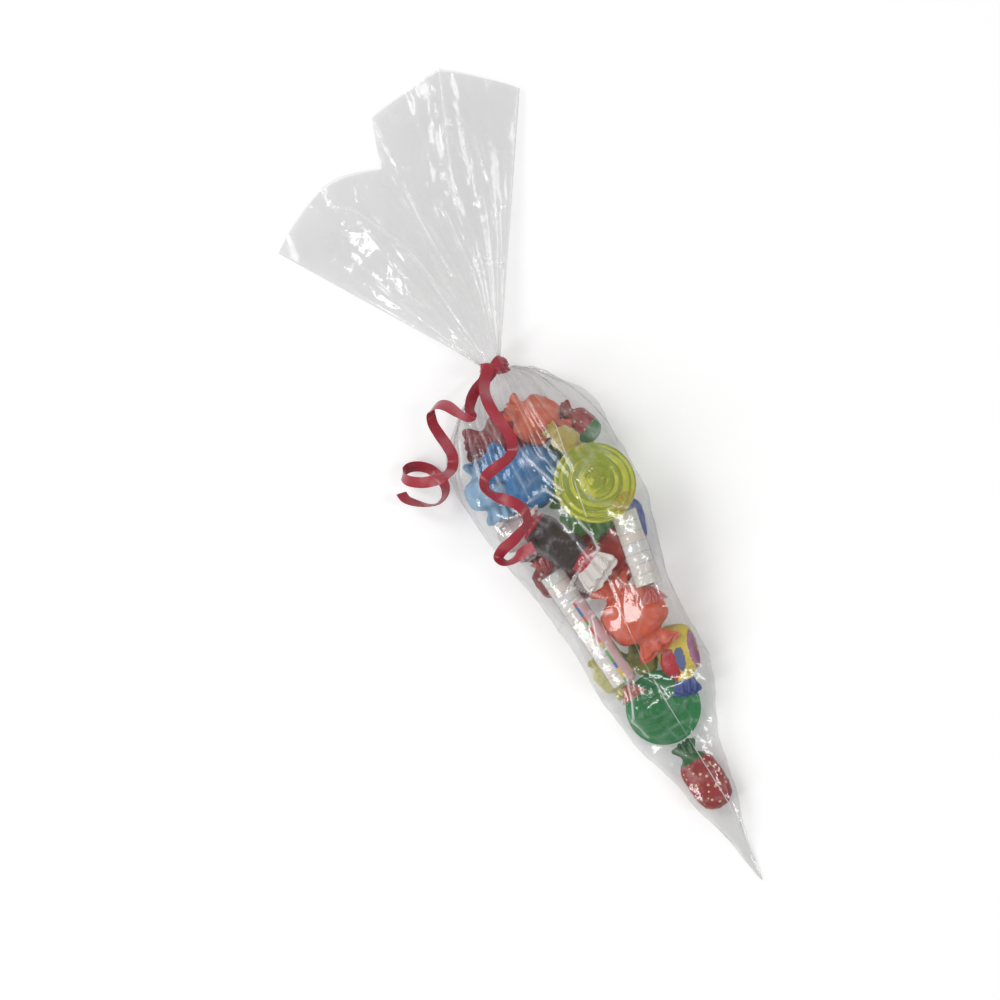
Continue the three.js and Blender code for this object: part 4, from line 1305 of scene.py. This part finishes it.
# Each wrapped sweet: its node, wrap and slot, the height and size of its crinkles, the pleats in its fans,
# the lengths of its low and high fan, and how far its body and its fans swell sideways.
SWEETS = [
    ("orange_sweet_large", "orange", "orange_wrap", 0.55, 8.0, 7, 8, 8, 1.22, 1.3),
    ("wrapped_sweet_orange", "orange_top", "orange_wrap", 0.45, 6.0, 7, 5, 5, 1.2, 1.3),
    ("wrapped_sweet_blue", "blue", "blue_wrap", 0.55, 7.0, 8, 7, 11, 1.2, 1.2),
    ("side_sweet_blue", "side_blue", "blue_wrap", 0.3, 4.0, 7, 6, 0, 1.15, 1.25),
    ("wrapped_sweet_light_blue", "light_blue", "light_blue_wrap", 0.4, 5.0, 7, 6, 6, 1.3, 1.4),
    ("wrapped_sweet_crimson", "crimson", "red_wrap", 0.4, 6.0, 8, 8, 8, 1.35, 1.5),
    ("wrapped_sweet_red", "red", "red_wrap", 0.4, 5.0, 7, 7, 7, 1.25, 1.5),
    ("wrapped_sweet_dark_red", "dark_red", "red_wrap", 0.4, 4.0, 7, 7, 7, 1.25, 1.5),
    ("wrapped_sweet_pale", "pale", "white_wrap", 0.4, 4.0, 7, 5, 5, 1.3, 1.4),
    ("flat_sweet_pale_yellow", "pale_yellow", "yellow_wrap", 0.3, 4.0, 7, 4, 4, 1.15, 1.25),
    ("small_sweet_yellow", "yellow", "yellow_wrap", 0.4, 3.6, 7, 4, 4, 1.15, 1.25),
    ("olive_sweet", "olive", "olive_wrap", 0.3, 4.0, 7, 4, 4, 1.3, 1.5),
    ("hidden_sweet_green", "green", "green_wrap", 0.4, 5.0, 7, 7, 7, 1.2, 1.4),
    ("light_green_sweet", "light_green", "green_wrap", 0.4, 4.6, 7, 5, 5, 1.25, 1.5),
    ("strawberry_sweet_tip", "strawberry", "strawberry_wrap", 0.26, 4.0, 8, 0, 6, 1.15, 1.25),
    ("strawberry_sweet_neck", "strawberry_small", "strawberry_wrap", 0.3, 3.6, 8, 0, 5, 1.15, 1.25),
    ("chew_roll_brown", "chew", "brown_wrap", 0.24, 6.0, 9, 14, 4, 1.05, 1.9),
    ("gum_yellow", "gum", "yellow_wrap", 0.28, 6.0, 8, 8, 0, 1.15, 1.25),
]
# The pieces with a straight-sided body: where it begins and ends along the piece, and its half width.
BARRELS = {"chew_roll_brown": (-7.6, 17.2, 7.6)}


@dataclass
class Sweets:
    """All that the bag holds: wrapped sweets, spinning tops and tablet rolls."""

    def wrapped(self) -> list[WrappedSweet]:
        """Lists the wrapped sweets, each crinkled in its own way by its place in the list."""
        sweets = []
        for number, row in enumerate(SWEETS, start=1):
            node, wrap, slot, height, size, pleats, low, high, body, fan = row
            sweets.append(WrappedSweet(
                node, WRAPS[wrap], slot, crinkle=height, crinkle_size=size, pleats=pleats, seed=float(number),
                low_fan=low, high_fan=high, swell=body, fan_swell=fan, barrel=BARRELS.get(node),
            ))
        return sweets

    def build(self) -> None:
        """Builds every sweet, top and roll."""
        for sweet in self.wrapped():
            sweet.build()
        green = ClearPlasticFinish("green_top_plastic", (0.02, 0.4, 0.12))
        yellow = ClearPlasticFinish("yellow_top_plastic", (0.9, 0.92, 0.1))
        SpinningTop("spinning_top_green", green, "green_clear_plastic", 16.0, 10.0, 3.0, -3.0).build()
        SpinningTop("spinning_top_yellow", yellow, "yellow_clear_plastic", 17.5, 11.0, -10.0, 14.0).build()
        for roll in (
            TabletRoll("tablets_left", "sleeve_left", 12, True),
            TabletRoll("tablets_right", "sleeve_right", 7, False),
        ):
            roll.build_tablets()
            roll.build_sleeve()


@dataclass
class Studio:
    """The camera above, the pale floor, the white background and the soft lights."""

    image_side: float = 0.425
    centre: tuple[float, float] = (-0.0239, 0.0303)
    up: tuple[float, float] = (0.46388, 0.8859)
    height: float = 3.0
    focus_height: float = 0.006
    sensor: float = 36.0
    floor_side: float = 3.2
    floor_drop: float = 0.0004
    floor_glow: float = 0.2
    world_strength: float = 0.42
    aim_at: Point = (0.0, 0.03, 0.02)

    def camera(self) -> None:
        """Hangs the camera over the bag, rolled so that the bag leans as in the photograph."""
        data = bpy.data.cameras.new("camera_above")
        data.sensor_width = self.sensor
        data.lens = self.sensor * (self.height - self.focus_height) / self.image_side
        data.clip_end = 10.0
        camera = bpy.data.objects.new("camera_above", data)
        bpy.context.scene.collection.objects.link(camera)
        right = Vector((self.up[1], -self.up[0], 0.0))
        up = Vector((*self.up, 0.0))
        back = Vector((0.0, 0.0, 1.0))
        turn = Matrix((right, up, back)).transposed().to_4x4()
        camera.matrix_world = Matrix.Translation((*self.centre, self.height)) @ turn
        bpy.context.scene.camera = camera

    def floor(self) -> None:
        """Lays a wide pale floor that the camera sees as white but for the shadow."""
        bm = bmesh.new()
        bmesh.ops.create_grid(bm, x_segments=8, y_segments=8, size=self.floor_side / 2)
        bmesh.ops.translate(bm, verts=bm.verts, vec=(0, 0, -self.floor_drop))
        floor = link("studio_floor", bm)
        graph = Graph("pale_floor")
        place = graph.place()
        cloud = graph.noise(place, 3.0, 2.0)
        colour = graph.mix(cloud, rgba((0.86, 0.86, 0.86)), rgba((0.88, 0.88, 0.88)))
        matte = graph.add("BsdfDiffuse", {"Color": colour}).outputs[0]
        glow = graph.add("Emission", {"Color": rgba((1, 1, 1)), "Strength": self.floor_glow}).outputs[0]
        both = graph.add("AddShader", {0: matte, 1: glow}).outputs[0]
        path = graph.add("LightPath")
        seen = graph.math("MAXIMUM", path.outputs["Is Camera Ray"], path.outputs["Is Transmission Ray"])
        material = graph.surface(graph.blend(seen, matte, both))
        floor.data.materials.append(material)

    def world(self) -> None:
        """Sets a plain pale world."""
        world = bpy.data.worlds.new("studio_world")
        world.use_nodes = True
        background = world.node_tree.nodes["Background"]
        background.inputs["Color"].default_value = (1, 1, 1, 1)
        background.inputs["Strength"].default_value = self.world_strength
        bpy.context.scene.world = world

    def lights(self) -> None:
        """Hangs a large soft light and two narrow ones that draw the film's highlights."""
        for name, place, size, power in (
            ("soft_key", (-0.7, 0.9, 1.3), (0.8, 0.8), 11.0),
            ("strip_left", (-0.9, -0.1, 0.8), (0.12, 0.9), 4.0),
            ("strip_right", (0.7, -0.4, 1.0), (0.1, 0.8), 3.0),
        ):
            data = bpy.data.lights.new(name, "AREA")
            data.shape = "RECTANGLE"
            data.size, data.size_y = size
            data.energy = power
            light = bpy.data.objects.new(name, data)
            bpy.context.scene.collection.objects.link(light)
            light.location = place
            aim = Vector(self.aim_at) - Vector(place)
            light.rotation_euler = aim.to_track_quat("-Z", "Y").to_euler()

    def build(self) -> None:
        """Sets up the floor, world and lights, after the camera."""
        self.floor()
        self.world()
        self.lights()
        bpy.context.scene.view_settings.view_transform = "Standard"


def main() -> None:
    """Builds the bag, piece by piece, and logs each piece's face count."""
    logging.basicConfig(level=logging.INFO, format="%(name)s %(message)s")
    studio = Studio()
    studio.camera()
    Ribbon().build()
    Film().build()
    Sweets().build()
    studio.build()
    bpy.context.view_layer.update()


if __name__ == "__main__":
    main()
